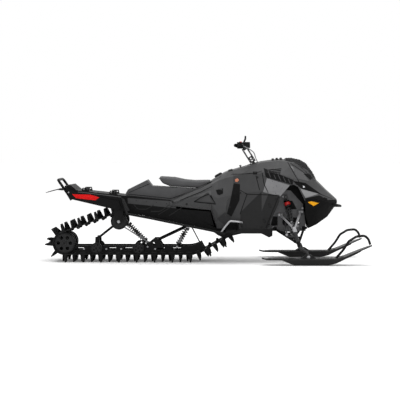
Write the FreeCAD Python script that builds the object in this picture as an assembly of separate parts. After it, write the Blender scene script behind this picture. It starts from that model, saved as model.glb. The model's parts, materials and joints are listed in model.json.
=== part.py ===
import FreeCAD, Part
import math
import os

# A long-track mountain snowmobile. Millimetres. +X points forward, +Y to the rider's left, +Z up.
# The origin is on the ground, under the middle of the machine.

Vector = FreeCAD.Vector

# Track
track_pitch = 88.9
track_pitches = 44
track_width = 406.0
lug_height = 76.0
lug_base = 30.0
lug_tip = 12.0
lug_stagger = 18.0
lug_phase = 0.5
belt_thickness = 10.0
belt_turn_count = 28
band_gap = 26.0
bar_length = 24.0
rear_wheel_radius = 105.0
carrier_wheel_radius = 83.0
drive_wheel_radius = 94.0
rail_nose_radius = 348.0
drive_x = 165.0
drive_z = 345.0
carrier_x = -877.0
carrier_z = 409.0
rail_nose_x = -190.0

# Rear skid
rail_half_spacing = 112.0
rail_thickness = 14.0
rail_height = 62.0
slide_thickness = 15.0
slide_width = 26.0
wheel_width = 22.0
axle_radius = 11.0
shaft_radius = 12.0
bogie_radius = 56.0
outer_wheel_half_spacing = 165.0
inner_wheel_half_spacing = 62.0
arm_tube_radius = 12.0

# Tunnel, boards and rear end
tunnel_half_width = 222.0
tunnel_wall = 3.0
tunnel_length = 1775.0
tunnel_rear_x = -1415.0
tunnel_height = 780.0
board_half_width = 385.0
board_thickness = 4.0
board_edge_radius = 11.0
board_length = 980.0
board_rear_x = -800.0
bumper_tube_radius = 13.0
bumper_rise = 56.0
flap_length = 190.0
flap_half_width = 180.0
flap_thickness = 6.0
lamp_depth = 12.0
anchor_bore_radius = 9.0
anchor_bore_depth = 22.0

# Seat
seat_length = 820.0
seat_rear_x = -815.0
seat_height = 870.0
seat_half_width = 120.0
cushion_half_width = 135.0

# Body
body_length = 1300.0
body_height = 1040.0
body_half_width = 330.0
panel_wall = 6.0
seam_gap = 0.6
shield_half_width = 150.0
shield_depth = 45.0
shield_lip = 34.0
shield_rim = 5.6
lens_recess = 2.0
lens_thickness = 6.0
screen_recess = 5.0
screen_rim = 7.0
slat_gap = 6.0
groove_depth = 2.5
groove_width = 6.0
pad_thickness = 6.0
toe_bar_radius = 9.0
toe_bar_y = 352.0
toe_stop_y = 310.0

# Front suspension and skis
ski_half_stance = 455.0
ski_width = 185.0
ski_thickness = 12.0
ski_length = 1070.0
ski_rear_x = 538.0
ski_bolt_x = 990.0
ski_bolt_z = 82.0
ski_bolt_radius = 8.0
ski_height = 200.0
keel_width = 62.0
loop_height = 295.0
loop_tube_radius = 12.0
kingpin_half_stance = 400.0
kingpin_top_x = 858.0
kingpin_top_z = 348.0
kingpin_low_z = 204.0
caster_deg = 16.0
kingpin_radius = 9.0
kingpin_clearance = 0.06
eye_radius = 19.0
eye_length = 52.0
spindle_radius = 17.0
steering_arm_length = 90.0
tie_rod_radius = 8.0
tie_inner_y = 46.0
tie_rise = 130.0
upper_arm_radius = 11.0
lower_arm_radius = 12.0
arm_pivot_radius = 15.0
arm_pivot_length = 40.0
arm_pin_radius = 6.0
shock_radius = 16.0
spring_radius = 30.0
spring_wire_radius = 5.0

# Engine
engine_length = 240.0
engine_height = 300.0
engine_half_width = 205.0
engine_clearance = 9.0

# Steering
column_deg = 32.0
column_x = 463.0
column_lift = 11.4
post_radius = 14.0
post_length = 630.0
riser_length = 168.0
riser_depth = 62.0
hatch_radius = 51.0
pod_half_width = 45.0
cable_radius = 4.5
bar_half_width = 370.0
bar_radius = 11.0
bar_bore_radius = 8.0
bar_bore_length = 60.0
grip_radius = 17.0
grip_length = 125.0
bearing_clearance = 0.3

# General
fit_gap = 0.3
overrun = 400.0


def vec(x, y, z):
    return Vector(x, y, z)


def place(shares, origin_x, length, height):
    """Side-view points worked out from shares of a length and a height."""
    return [(origin_x + sx * length, sz * height) for sx, sz in shares]


def between(points, at_place):
    """Height at a place, on straight lines between (place, height) points."""
    for (x0, z0), (x1, z1) in zip(points, points[1:]):
        if at_place <= x1:
            return z0 + (z1 - z0) * (at_place - x0) / (x1 - x0)
    return points[-1][1]


def drawn_in(points, gap):
    """An outline with every side moved inwards by a gap."""
    ahead = points[1:] + points[:1]
    area = sum(x0 * z1 - x1 * z0 for (x0, z0), (x1, z1) in zip(points, ahead))
    turn = math.copysign(1, area)
    normals = []
    for (x0, z0), (x1, z1) in zip(points, ahead):
        span = math.hypot(x1 - x0, z1 - z0)
        normals.append((-turn * (z1 - z0) / span, turn * (x1 - x0) / span))
    moved = []
    for index, (x, z) in enumerate(points):
        ax, az = normals[index - 1]
        bx, bz = normals[index]
        reach = gap / (1 + ax * bx + az * bz)
        moved.append((x + (ax + bx) * reach, z + (az + bz) * reach))
    return moved


def prism(points, y_low, y_high):
    """A side-view outline (X, Z), carried across from y_low to y_high."""
    ring = [vec(x, y_low, z) for x, z in points]
    face = Part.Face(Part.makePolygon(ring + [ring[0]]))
    return face.extrude(vec(0, y_high - y_low, 0))


def plan_prism(points, z_low, z_high):
    """A top-view outline (X, Y), carried up from z_low to z_high."""
    ring = [vec(x, y, z_low) for x, y in points]
    face = Part.Face(Part.makePolygon(ring + [ring[0]]))
    return face.extrude(vec(0, 0, z_high - z_low))


def box(x_low, x_high, y_low, y_high, z_low, z_high):
    return Part.makeBox(x_high - x_low, y_high - y_low, z_high - z_low, vec(x_low, y_low, z_low))


def rod(start, end, radius):
    """A round bar between two points."""
    return Part.makeCylinder(radius, (end - start).Length, start, end - start)


def cross_rod(x, z, radius, y_low, y_high):
    """A round bar across the machine."""
    return Part.makeCylinder(radius, y_high - y_low, vec(x, y_low, z), vec(0, 1, 0))


def tube_path(points, bend):
    """Straight runs through the points, joined by tangent arcs."""
    edges = []
    start = points[0]
    for before, corner, after in zip(points, points[1:], points[2:]):
        into = (corner - before).normalize()
        out = (after - corner).normalize()
        turn = into.getAngle(out)
        reach = min(bend * math.tan(turn / 2), (corner - before).Length * 0.45, (after - corner).Length * 0.45)
        radius = reach / math.tan(turn / 2)
        entry = corner - into * reach
        leave = corner + out * reach
        inward = (out - into).normalize()
        middle = corner + inward * (radius / math.cos(turn / 2) - radius)
        edges.append(Part.LineSegment(start, entry).toShape())
        edges.append(Part.Arc(entry, middle, leave).toShape())
        start = leave
    edges.append(Part.LineSegment(start, points[-1]).toShape())
    return Part.Wire(edges)


def bent_tube(points, radius, bend):
    """A round bar carried along straight runs and tangent arcs."""
    if len(points) == 2:
        return rod(points[0], points[1], radius)
    path = tube_path(points, bend)
    section = Part.Wire(Part.makeCircle(radius, points[0], points[1] - points[0]))
    return path.makePipeShell([section], True, False)


def mirrored(shape):
    return shape.mirror(vec(0, 0, 0), vec(0, 1, 0))


def both(shape):
    """The shape and its mirror image on the other side of the machine."""
    return [shape, mirrored(shape)]


def join(shapes):
    first = shapes[0]
    if len(shapes) == 1:
        return first
    return first.fuse(shapes[1:]).removeSplitter()


def group(shapes):
    """Several solids that don't touch, kept in one piece's file."""
    solids = []
    for shape in shapes:
        solids.extend(shape.Solids)
    return Part.makeCompound(solids)


# Belt loop

class BeltLoop:
    """The track's closed path round its four supports, as tangent lines and arcs."""

    def __init__(self, rear_x):
        belt_low = lug_height + belt_thickness
        self.circles = [
            (rear_x, belt_low + rear_wheel_radius, rear_wheel_radius),
            (rail_nose_x, belt_low + rail_nose_radius, rail_nose_radius),
            (drive_x, drive_z, drive_wheel_radius),
            (carrier_x, carrier_z, carrier_wheel_radius),
        ]
        self.headings = []
        for here, there in zip(self.circles, self.circles[1:] + self.circles[:1]):
            dx = there[0] - here[0]
            dz = there[1] - here[1]
            lean = math.asin((here[2] - there[2]) / math.hypot(dx, dz))
            self.headings.append(math.atan2(dz, dx) + lean)

    def runs(self, offset):
        """The pieces of the path at a distance outside the belt's inner face."""
        pieces = []
        count = len(self.circles)
        for index in range(count):
            x, z, radius = self.circles[index]
            grown = radius + offset
            came = self.headings[index - 1]
            goes = self.headings[index]
            turn = (goes - came) % (2 * math.pi)
            pieces.append(("arc", x, z, grown, came, turn, grown * turn))
            following = self.circles[(index + 1) % count]
            out_x = x + grown * math.sin(goes)
            out_z = z - grown * math.cos(goes)
            in_x = following[0] + (following[2] + offset) * math.sin(goes)
            in_z = following[1] - (following[2] + offset) * math.cos(goes)
            span = math.hypot(in_x - out_x, in_z - out_z)
            pieces.append(("line", out_x, out_z, 0, goes, 0, span))
        return pieces

    def length(self, offset):
        return sum(piece[-1] for piece in self.runs(offset))

    def point(self, offset, travel):
        """Place and heading after some travel, from the rear wheel's lowest point."""
        left = travel % self.length(offset)
        for kind, x, z, radius, heading, turn, span in self.runs(offset):
            if left <= span:
                if kind == "line":
                    return x + left * math.cos(heading), z + left * math.sin(heading), heading
                angle = heading + turn * left / span
                return x + radius * math.sin(angle), z - radius * math.cos(angle), angle
            left -= span
        return x, z, heading

    def face(self, offset, y):
        """A flat face bounded by the path, whose bends are flats that touch the supports' circles."""
        points = []
        for kind, x, z, radius, heading, turn, span in self.runs(offset):
            if kind == "line":
                continue
            count = max(2, round(belt_turn_count * turn / (2 * math.pi)))
            step = turn / count
            reach = radius / math.cos(step / 2)
            for index in range(count):
                angle = heading + step * (index + 0.5)
                points.append(vec(x + reach * math.sin(angle), y, z - reach * math.cos(angle)))
        return Part.Face(Part.makePolygon(points + points[:1]))


def fitted_loop():
    """Slide the rear axle until the belt is a whole number of pitches long."""
    wanted = track_pitch * track_pitches
    near = carrier_x
    far = carrier_x - track_pitch * track_pitches / 2
    for _ in range(60):
        middle = (near + far) / 2
        if BeltLoop(middle).length(belt_thickness / 2) > wanted:
            far = middle
        else:
            near = middle
    return BeltLoop((near + far) / 2)


loop = fitted_loop()
rear_axle_x = loop.circles[0][0]
rear_axle_z = loop.circles[0][1]
belt_low_z = lug_height + belt_thickness


def band(y_low, y_high):
    outer = loop.face(belt_thickness, y_low).extrude(vec(0, y_high - y_low, 0))
    inner = loop.face(0, y_low).extrude(vec(0, y_high - y_low, 0))
    return outer.cut(inner)


def paddle(travel, y_low, y_high, back):
    """One tapered rubber lug, standing on the belt's outer face."""
    x, z, heading = loop.point(belt_thickness / 2, travel - back)
    along = vec(math.cos(heading), 0, math.sin(heading))
    up = vec(math.sin(heading), 0, -math.cos(heading))
    foot = vec(x, y_low, z)
    corners = [
        foot - along * (lug_base / 2),
        foot + along * (lug_base / 2),
        foot + along * (lug_tip / 2) + up * (lug_height + belt_thickness / 2),
        foot - along * (lug_tip / 2) + up * (lug_height + belt_thickness / 2),
    ]
    face = Part.Face(Part.makePolygon(corners + [corners[0]]))
    return face.extrude(vec(0, y_high - y_low, 0))


def cross_bars(travel):
    """The stiffening bar under a row of lugs, where it shows in the belt's two slots."""
    x, z, heading = loop.point(belt_thickness / 2, travel)
    along = vec(math.cos(heading), 0, math.sin(heading)) * (bar_length / 2)
    up = vec(math.sin(heading), 0, -math.cos(heading)) * (belt_thickness * 0.35)
    reach = band_gap / 2 + belt_thickness * 0.4
    bars = []
    for side in (-1, 1):
        foot = vec(x, side * rail_half_spacing - reach, z)
        corners = [foot - along - up, foot + along - up, foot + along + up, foot - along + up]
        face = Part.Face(Part.makePolygon(corners + [corners[0]]))
        bars.append(face.extrude(vec(0, reach * 2, 0)))
    return bars


# Paddle rows alternate: two wide paddles, then three set back, as shares of the half width.
wide_row_shares = [(-0.80, -0.10), (0.10, 0.80)]
open_row_shares = [(-1.00, -0.52), (-0.34, 0.34), (0.52, 1.00)]


def make_track():
    half = track_width / 2
    slot_centre = rail_half_spacing
    bands = [
        band(-half, -slot_centre - band_gap / 2),
        band(-slot_centre + band_gap / 2, slot_centre - band_gap / 2),
        band(slot_centre + band_gap / 2, half),
    ]
    pieces = []
    for index in range(track_pitches):
        travel = (index + lug_phase) * track_pitch
        pieces += cross_bars(travel)
        row = open_row_shares if index % 2 else wide_row_shares
        back = 0
        for order, (low, high) in enumerate(row):
            if len(row) == 3:
                back = lug_stagger if order == 1 else -lug_stagger / 2
            pieces.append(paddle(travel, low * half, high * half, back))
    return bands[0].fuse(bands[1:] + pieces)


# Wheels

def spoked_wheel(x, z, y, radius, holes, hole_share):
    """A moulded wheel with a rim, a thin web with holes, and a hub."""
    half = wheel_width / 2
    wheel = cross_rod(x, z, radius, y - half, y + half)
    recess = cross_rod(x, z, radius - wheel_width * 0.55, y + half * 0.45, y + wheel_width)
    wheel = wheel.cut([recess, recess.mirror(vec(0, y, 0), vec(0, 1, 0))])
    wheel = wheel.fuse(cross_rod(x, z, axle_radius * 2.1, y - half, y + half))
    cuts = [cross_rod(x, z, axle_radius + kingpin_clearance, y - wheel_width, y + wheel_width)]
    ring = radius * 0.58
    for index in range(holes):
        angle = 2 * math.pi * index / holes
        hole_x = x + ring * math.cos(angle)
        hole_z = z + ring * math.sin(angle)
        cuts.append(cross_rod(hole_x, hole_z, radius * hole_share, y - wheel_width, y + wheel_width))
    return wheel.cut(cuts)


def make_rear_idlers():
    wheels = []
    for y in (-outer_wheel_half_spacing, -inner_wheel_half_spacing, inner_wheel_half_spacing, outer_wheel_half_spacing):
        wheels.append(spoked_wheel(rear_axle_x, rear_axle_z, y, rear_wheel_radius - fit_gap, 6, 0.17))
    return group(wheels)


def make_carrier_wheels():
    wheels = []
    for y in (-outer_wheel_half_spacing, outer_wheel_half_spacing):
        wheels.append(spoked_wheel(carrier_x, carrier_z, y, carrier_wheel_radius - fit_gap, 0, 0))
    return group(wheels)


bogie_x_shares = (0.26, 0.60)


def bogie_places():
    span = rail_nose_x - rear_axle_x
    return [rear_axle_x + share * span for share in bogie_x_shares]


def make_bogies():
    wheels = []
    for x in bogie_places():
        for side in (-1, 1):
            y = side * outer_wheel_half_spacing
            wheels.append(spoked_wheel(x, belt_low_z + bogie_radius, y, bogie_radius - fit_gap, 5, 0.14))
    return group(wheels)


def make_drive_axle():
    """The driving shaft, with two toothed wheels that pull the belt round."""
    reach = tunnel_half_width - tunnel_wall - fit_gap
    parts = [cross_rod(drive_x, drive_z, shaft_radius * 1.4, -reach, reach)]
    teeth = 7
    for y in (-inner_wheel_half_spacing, inner_wheel_half_spacing):
        ring = []
        for index in range(teeth * 4):
            angle = 2 * math.pi * index / (teeth * 4)
            radius = (drive_wheel_radius - fit_gap) * (1 if index % 4 < 2 else 0.84)
            ring.append((drive_x + radius * math.cos(angle), drive_z + radius * math.sin(angle)))
        parts.append(prism(ring, y - wheel_width / 2, y + wheel_width / 2))
    return join(parts)


# Rails

rail_top_z = belt_low_z + slide_thickness + rail_height


def rail_outline(bottom, top):
    """The rail's side view: flat along the ground, curling up over its nose."""
    nose_x, nose_z, nose_r = loop.circles[1]
    angle = loop.headings[1]
    low_r = nose_r - bottom
    high_r = nose_r - top
    low_end = vec(nose_x + low_r * math.sin(angle), 0, nose_z - low_r * math.cos(angle))
    high_end = vec(nose_x + high_r * math.sin(angle), 0, nose_z - high_r * math.cos(angle))
    low_mid = vec(nose_x + low_r * math.sin(angle / 2), 0, nose_z - low_r * math.cos(angle / 2))
    high_mid = vec(nose_x + high_r * math.sin(angle / 2), 0, nose_z - high_r * math.cos(angle / 2))
    low_start = vec(nose_x, 0, belt_low_z + bottom)
    high_start = vec(nose_x, 0, belt_low_z + top)
    return low_start, low_mid, low_end, high_end, high_mid, high_start


def rail_solid(bottom, top, rear_x, width):
    low_start, low_mid, low_end, high_end, high_mid, high_start = rail_outline(bottom, top)
    rear_low = vec(rear_x, 0, belt_low_z + bottom)
    rear_high = vec(rear_x, 0, belt_low_z + top)
    edges = [
        Part.LineSegment(rear_low, low_start).toShape(),
        Part.Arc(low_start, low_mid, low_end).toShape(),
        Part.LineSegment(low_end, high_end).toShape(),
        Part.Arc(high_end, high_mid, high_start).toShape(),
        Part.LineSegment(high_start, rear_high).toShape(),
        Part.LineSegment(rear_high, rear_low).toShape(),
    ]
    return Part.Face(Part.Wire(edges)).extrude(vec(0, width, 0))


def rail_windows():
    """Lightening holes along the rail's web."""
    cuts = []
    span = rail_nose_x - rear_axle_x
    count = 7
    window_z = belt_low_z + slide_thickness + rail_height / 2
    for index in range(count):
        middle = rear_axle_x + span * (index + 0.9) / (count + 0.6)
        half = span * 0.035
        height = rail_height * 0.19
        if min(abs(middle - x) for x in bogie_places()) < half + axle_radius * 2:
            continue
        cuts.append(box(middle - half, middle + half, -rail_thickness, rail_thickness * 2,
                        window_z - height, window_z + height))
    return cuts


def bracket_outline():
    """The tall bracket that holds the front arm and the rear shock to the rail."""
    foot = rail_top_z - rail_height * 0.4
    width = rail_height * 3.3
    apex = rail_height * 1.12
    left = front_arm_low_x - width * 0.72
    return [(left, foot), (front_arm_low_x + width * 0.34, foot), (front_arm_low_x + width * 0.06, rail_top_z + apex),
            (front_arm_low_x - width * 0.14, rail_top_z + apex)]


front_arm_low_x = -499.0
front_arm_low_z = 214.0
rear_arm_low_x = -1100.0
rear_arm_low_z = 232.0
rear_shock_low_x = -596.0
centre_shock_low_x = -303.0
front_arm_high_x = -190.0
front_arm_high_z = 360.0
bracket_plate = 5.0
bracket_outer_y = tunnel_half_width - tunnel_wall - fit_gap


def make_rails():
    """Both rails with the cross shafts between them."""
    shapes = []
    y = rail_half_spacing - rail_thickness / 2
    rail = rail_solid(slide_thickness, slide_thickness + rail_height, rear_axle_x - axle_radius, rail_thickness)
    rail = rail.cut(rail_windows())
    end_radius = rear_wheel_radius * 0.36
    rail = rail.fuse(cross_rod(rear_axle_x, rear_axle_z, end_radius, 0, rail_thickness))
    web = [(rear_axle_x, rear_axle_z + end_radius), (rear_axle_x, rail_top_z - rail_height / 2),
           (rear_axle_x + end_radius * 4, rail_top_z - rail_height / 2), (rear_axle_x + end_radius * 2.4, rail_top_z)]
    rail = rail.fuse(prism(web, 0, rail_thickness))
    rear_bracket = [
        (rear_arm_low_x - shaft_radius * 2, rail_top_z - rail_height * 0.3),
        (rear_arm_low_x + shaft_radius * 2.4, rail_top_z - rail_height * 0.3),
        (rear_arm_low_x + shaft_radius * 1.6, rear_arm_low_z + shaft_radius * 1.5),
        (rear_arm_low_x - shaft_radius * 1.6, rear_arm_low_z + shaft_radius * 1.5)]
    rail = rail.fuse(prism(rear_bracket, 0, rail_thickness))
    tower = prism(bracket_outline(), 0, rail_thickness)
    window_z = rail_top_z + rail_height * 0.30
    tower = tower.cut(cross_rod(front_arm_low_x - rail_height * 0.62, window_z, rail_height * 0.26,
                                -rail_thickness, rail_thickness * 2))
    rail = rail.fuse(tower)
    rail.translate(vec(0, y, 0))
    shapes.extend(both(rail))
    half = rail_half_spacing
    wide = outer_wheel_half_spacing + wheel_width
    shapes.append(cross_rod(rear_axle_x, rear_axle_z, axle_radius, -wide, wide))
    for x in bogie_places():
        shapes.append(cross_rod(x, belt_low_z + bogie_radius, axle_radius, -wide, wide))
    shapes.append(cross_rod(rear_arm_low_x, rear_arm_low_z, axle_radius, -half, half))
    shapes.append(cross_rod(front_arm_low_x, front_arm_low_z, axle_radius, -half, half))
    shapes.append(cross_rod(rear_shock_low_x, rear_shock_low_z, axle_radius, -half, half))
    shapes.append(cross_rod(centre_shock_low_x, centre_shock_low_z, axle_radius, -half, half))
    nose = rail_outline(slide_thickness, slide_thickness + rail_height)
    middle = (nose[2] + nose[3]) * 0.5
    back = (nose[1] + nose[4]) * 0.5
    tip = middle * 0.72 + back * 0.28
    shapes.append(cross_rod(tip.x, tip.z, axle_radius, -half, half))
    return join(shapes), tip


rear_shock_low_z = rail_top_z + rail_height * 0.26
centre_shock_low_z = rail_top_z - rail_height * 0.22


def make_slides():
    slide = rail_solid(fit_gap, slide_thickness, rear_axle_x + rear_wheel_radius, slide_width)
    slide.translate(vec(0, rail_half_spacing - slide_width / 2, 0))
    return group(both(slide))


# Rear suspension arms, shocks and springs

def damper(low, high, eye_width, low_axis):
    """A telescopic damper: eyes, a body, a rod and a spring seat at each end."""
    axis = (high - low).normalize()
    span = (high - low).Length
    eye_r = shaft_radius * 1.5
    parts = [
        rod(low + axis * (eye_r * 0.8), low + axis * (span * 0.62), shock_radius),
        rod(low + axis * (span * 0.55), high - axis * (eye_r * 0.8), shock_radius * 0.42),
        rod(low + axis * (span * 0.10), low + axis * (span * 0.10 + spring_wire_radius), spring_radius),
        rod(high - axis * (span * 0.10 + spring_wire_radius), high - axis * (span * 0.10), spring_radius),
        rod(low - low_axis * (eye_width / 2), low + low_axis * (eye_width / 2), eye_r),
        Part.makeCylinder(eye_r, eye_width, high - vec(0, eye_width / 2, 0), vec(0, 1, 0)),
    ]
    return join(parts)


def spring_between(low, high):
    """A coil spring as a closed sleeve round a damper, between its seats."""
    axis = (high - low).normalize()
    span = (high - low).Length
    start = low + axis * (span * 0.10 + spring_wire_radius + fit_gap)
    end = high - axis * (span * 0.10 + spring_wire_radius + fit_gap)
    sleeve = rod(start, end, spring_radius - fit_gap)
    return sleeve.cut(rod(start, end, spring_radius - spring_wire_radius * 2 + fit_gap))


carrier_shaft = vec(carrier_x, 0, carrier_z)
rear_shock_high = vec(carrier_x + 62.0, 0, carrier_z - 14.0)
rear_shock_low = vec(rear_shock_low_x, 0, rear_shock_low_z)
front_arm_shaft = vec(front_arm_high_x, 0, front_arm_high_z)
centre_shock_low = vec(centre_shock_low_x, 0, centre_shock_low_z)


def arm_ring(middle):
    """A short sleeve round a pivot, at the end of a leg."""
    return cross_rod(middle.x, middle.z, shaft_radius * 1.6, middle.y - shaft_radius * 1.1, middle.y + shaft_radius * 1.1)


def link_plate(start, end, radius, y_low, y_high):
    """A flat link across two pivots: two round ends and a narrower web."""
    along = (end - start).normalize()
    side = vec(-along.z, 0, along.x) * (radius * 0.8)
    ring = [(p.x, p.z) for p in (start - side, end - side, end + side, start + side)]
    ends = [cross_rod(p.x, p.z, radius, y_low, y_high) for p in (start, end)]
    return prism(ring, y_low, y_high).fuse(ends)


def make_rear_arm():
    """The rear arm: its pivot shaft under the tunnel, two legs, and a bar at its foot."""
    reach = bracket_outer_y
    y = rail_half_spacing - rail_thickness - arm_tube_radius
    low = vec(rear_arm_low_x, y, rear_arm_low_z)
    high = vec(carrier_x, y, carrier_z)
    leg = rod(low, high, arm_tube_radius).fuse([arm_ring(low), arm_ring(high)])
    pin = cross_rod(rear_arm_low_x, rear_arm_low_z, axle_radius + fit_gap, -half_track(), half_track())
    lug = link_plate(carrier_shaft, rear_shock_high, shaft_radius * 1.7, shaft_radius * 2 + fit_gap, shaft_radius * 2.6)
    shaft = cross_rod(carrier_x, carrier_z, axle_radius, -reach, reach)
    bolt = cross_rod(rear_shock_high.x, rear_shock_high.z, axle_radius, -shaft_radius * 2.9, shaft_radius * 2.9)
    legs = [part.cut(pin) for part in both(leg)]
    return join([shaft, bolt] + legs + both(lug))


def half_track():
    return track_width / 2


def make_front_arm():
    reach = bracket_outer_y
    y = rail_half_spacing - rail_thickness - arm_tube_radius
    low = vec(front_arm_low_x, y, front_arm_low_z)
    high = vec(front_arm_high_x, y, front_arm_high_z)
    leg = rod(low, high, arm_tube_radius).fuse([arm_ring(low), arm_ring(high)])
    pin = cross_rod(front_arm_low_x, front_arm_low_z, axle_radius + fit_gap, -half_track(), half_track())
    shaft = cross_rod(front_arm_high_x, front_arm_high_z, axle_radius, -reach, reach)
    legs = [part.cut(pin) for part in both(leg)]
    return join([shaft] + legs)


def shock_set(low, high):
    """A damper cut free of the pins that its eyes turn on, and its spring."""
    width = shaft_radius * 4
    body = damper(low, high, width, vec(0, 1, 0))
    cuts = [
        cross_rod(low.x, low.z, axle_radius + fit_gap, -half_track(), half_track()),
        cross_rod(high.x, high.z, axle_radius + fit_gap, -half_track(), half_track()),
    ]
    return body.cut(cuts), spring_between(low, high)


def make_limiter(tip):
    """Two straps that hold the skid's front to the front arm's shaft."""
    high = vec(front_arm_high_x + axle_radius * 2.4, 0, front_arm_high_z)
    low = vec(tip.x, 0, tip.z)
    along = (high - low).normalize()
    side = vec(-along.z, 0, along.x) * (belt_thickness / 4)
    half = slide_width * 0.6
    ring = [low + along * (axle_radius * 2) - side, high - side, high + side, low + along * (axle_radius * 2) + side]
    face = Part.Face(Part.makePolygon([p - vec(0, half, 0) for p in ring + [ring[0]]]))
    strap = face.extrude(vec(0, half * 2, 0))
    hook = Part.makeCylinder(axle_radius * 2.2, half * 2, vec(low.x, -half, low.z), vec(0, 1, 0))
    hook = hook.cut(cross_rod(low.x, low.z, axle_radius + fit_gap, -half * 2, half * 2))
    top = Part.makeCylinder(axle_radius * 2.2, half * 2, vec(front_arm_high_x, -half, front_arm_high_z), vec(0, 1, 0))
    top = top.cut(cross_rod(front_arm_high_x, front_arm_high_z, axle_radius + fit_gap, -half * 2, half * 2))
    strap = strap.cut([cross_rod(front_arm_high_x, front_arm_high_z, axle_radius + fit_gap, -half * 2, half * 2)])
    whole = join([strap, hook, top])
    whole.translate(vec(0, spring_radius + half + axle_radius * 0.5, 0))
    return group(both(whole))


# Tunnel and boards

tunnel_shares = [
    (0.000, 0.980), (0.034, 0.992), (0.068, 0.928), (0.090, 0.917), (0.142, 0.904), (0.243, 0.880),
    (0.346, 0.853), (0.591, 0.794), (0.970, 0.720), (1.000, 0.700), (1.000, 0.378), (0.938, 0.346),
    (0.910, 0.322), (0.882, 0.328), (0.859, 0.353), (0.824, 0.410), (0.733, 0.467), (0.595, 0.530),
    (0.485, 0.582), (0.360, 0.636), (0.200, 0.733), (0.045, 0.808)]
tunnel_top_count = 10


def tunnel_points():
    return place(tunnel_shares, tunnel_rear_x, tunnel_length, tunnel_height)


def tunnel_front_x():
    return tunnel_rear_x + tunnel_length


def make_tunnel():
    """A folded sheet: a deck with two side walls, open below and behind."""
    outline = tunnel_points()
    outer = prism(outline, -tunnel_half_width, tunnel_half_width)
    lowered = [(x, z - tunnel_wall) for x, z in outline[:tunnel_top_count]]
    front = tunnel_front_x()
    lowered[-1] = (front - tunnel_wall, lowered[-1][1])
    inner = [(outline[0][0] - overrun, lowered[0][1])] + lowered
    inner += [(front - tunnel_wall, -overrun), (outline[0][0] - overrun, -overrun)]
    inner_half = tunnel_half_width - tunnel_wall
    return outer.cut(prism(inner, -inner_half, inner_half))


board_shares = [(0.000, 0.633), (0.020, 0.636), (0.251, 0.582), (0.450, 0.530), (0.700, 0.467), (0.859, 0.427),
                (1.000, 0.386)]


def board_points():
    return place(board_shares, board_rear_x, board_length, tunnel_height)


def board_at(x):
    """Height of the board's top surface at a place along it."""
    return between(board_points(), x)


def make_board():
    """A running board: a perforated tread with a rolled outer edge and a rear strut."""
    points = board_points()
    under = [(x, z - board_thickness) for x, z in reversed(points)]
    tread = prism(points + under, tunnel_half_width + fit_gap, board_half_width)
    cuts = []
    count = 11
    for index in range(count):
        x = board_rear_x + board_length * (index + 1.2) / (count + 1.4)
        z = board_at(x)
        half = board_length * 0.024
        for low, high in ((0.14, 0.46), (0.54, 0.86)):
            width = board_half_width - tunnel_half_width
            y0 = tunnel_half_width + width * low
            y1 = tunnel_half_width + width * high
            cuts.append(box(x - half, x + half, y0, y1, z - board_length * 0.05, z + board_length * 0.05))
    tread = tread.cut(cuts)
    edge = [vec(x, board_half_width, z) for x, z in points[1:]]
    parts = [tread, bent_tube(edge, board_edge_radius, board_length * 0.1)]
    strut_high = vec(points[0][0] - board_length * 0.045, tunnel_half_width + board_edge_radius + fit_gap,
                     tunnel_height * 0.822)
    strut_low = vec(points[1][0], board_half_width, points[1][1])
    parts.append(rod(strut_low, strut_high, board_edge_radius))
    parts.append(Part.makeSphere(board_edge_radius, strut_low))
    front_x, front_z = points[-1]
    toe = [(front_x + sx * toe_stop_length, front_z + sz * toe_stop_length) for sx, sz in toe_stop_shares]
    back = [(x - board_thickness, z + board_thickness) for x, z in reversed(toe)]
    parts.append(prism([(front_x, front_z - board_thickness)] + toe + back + [(front_x, front_z)],
                       toe_stop_y, board_half_width))
    return join(parts).cut(whole_skin(-fit_gap))


toe_stop_length = 130.0
toe_stop_shares = [(0.50, 0.04), (0.94, 0.20), (1.03, 0.44), (0.98, 0.70)]


def make_drop_brackets():
    """Plates inside the tunnel's sides that hold the two arm shafts."""
    plates = []
    low = bracket_outer_y - bracket_plate
    high = bracket_outer_y
    reach = shaft_radius * 3.2
    rear = [(carrier_x - reach * 1.1, carrier_z + shaft_radius), (carrier_x - reach * 0.6, carrier_z - shaft_radius * 2),
            (carrier_x + reach * 0.6, carrier_z - shaft_radius * 2), (carrier_x + reach * 1.1, carrier_z + shaft_radius),
            (carrier_x + reach * 1.2, tunnel_height * 0.74), (carrier_x - reach * 1.2, tunnel_height * 0.74)]
    plate = prism(rear, low, high)
    plate = plate.cut(cross_rod(carrier_x, carrier_z, axle_radius + kingpin_clearance, 0, overrun))
    plates.extend(both(plate))
    front = [(front_arm_high_x - reach * 0.8, front_arm_high_z), (front_arm_high_x, front_arm_high_z - shaft_radius * 1.8),
             (front_arm_high_x + reach * 0.8, front_arm_high_z),
             (front_arm_high_x + reach * 1.2, front_arm_high_z + reach * 2.6),
             (front_arm_high_x - reach * 1.2, front_arm_high_z + reach * 2.6)]
    plate = prism(front, low, high)
    plate = plate.cut(cross_rod(front_arm_high_x, front_arm_high_z, axle_radius + kingpin_clearance, 0, overrun))
    plates.extend(both(plate))
    return group(plates)


# Rear bumper, tail cover, lamps, flap and cargo anchors

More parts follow.
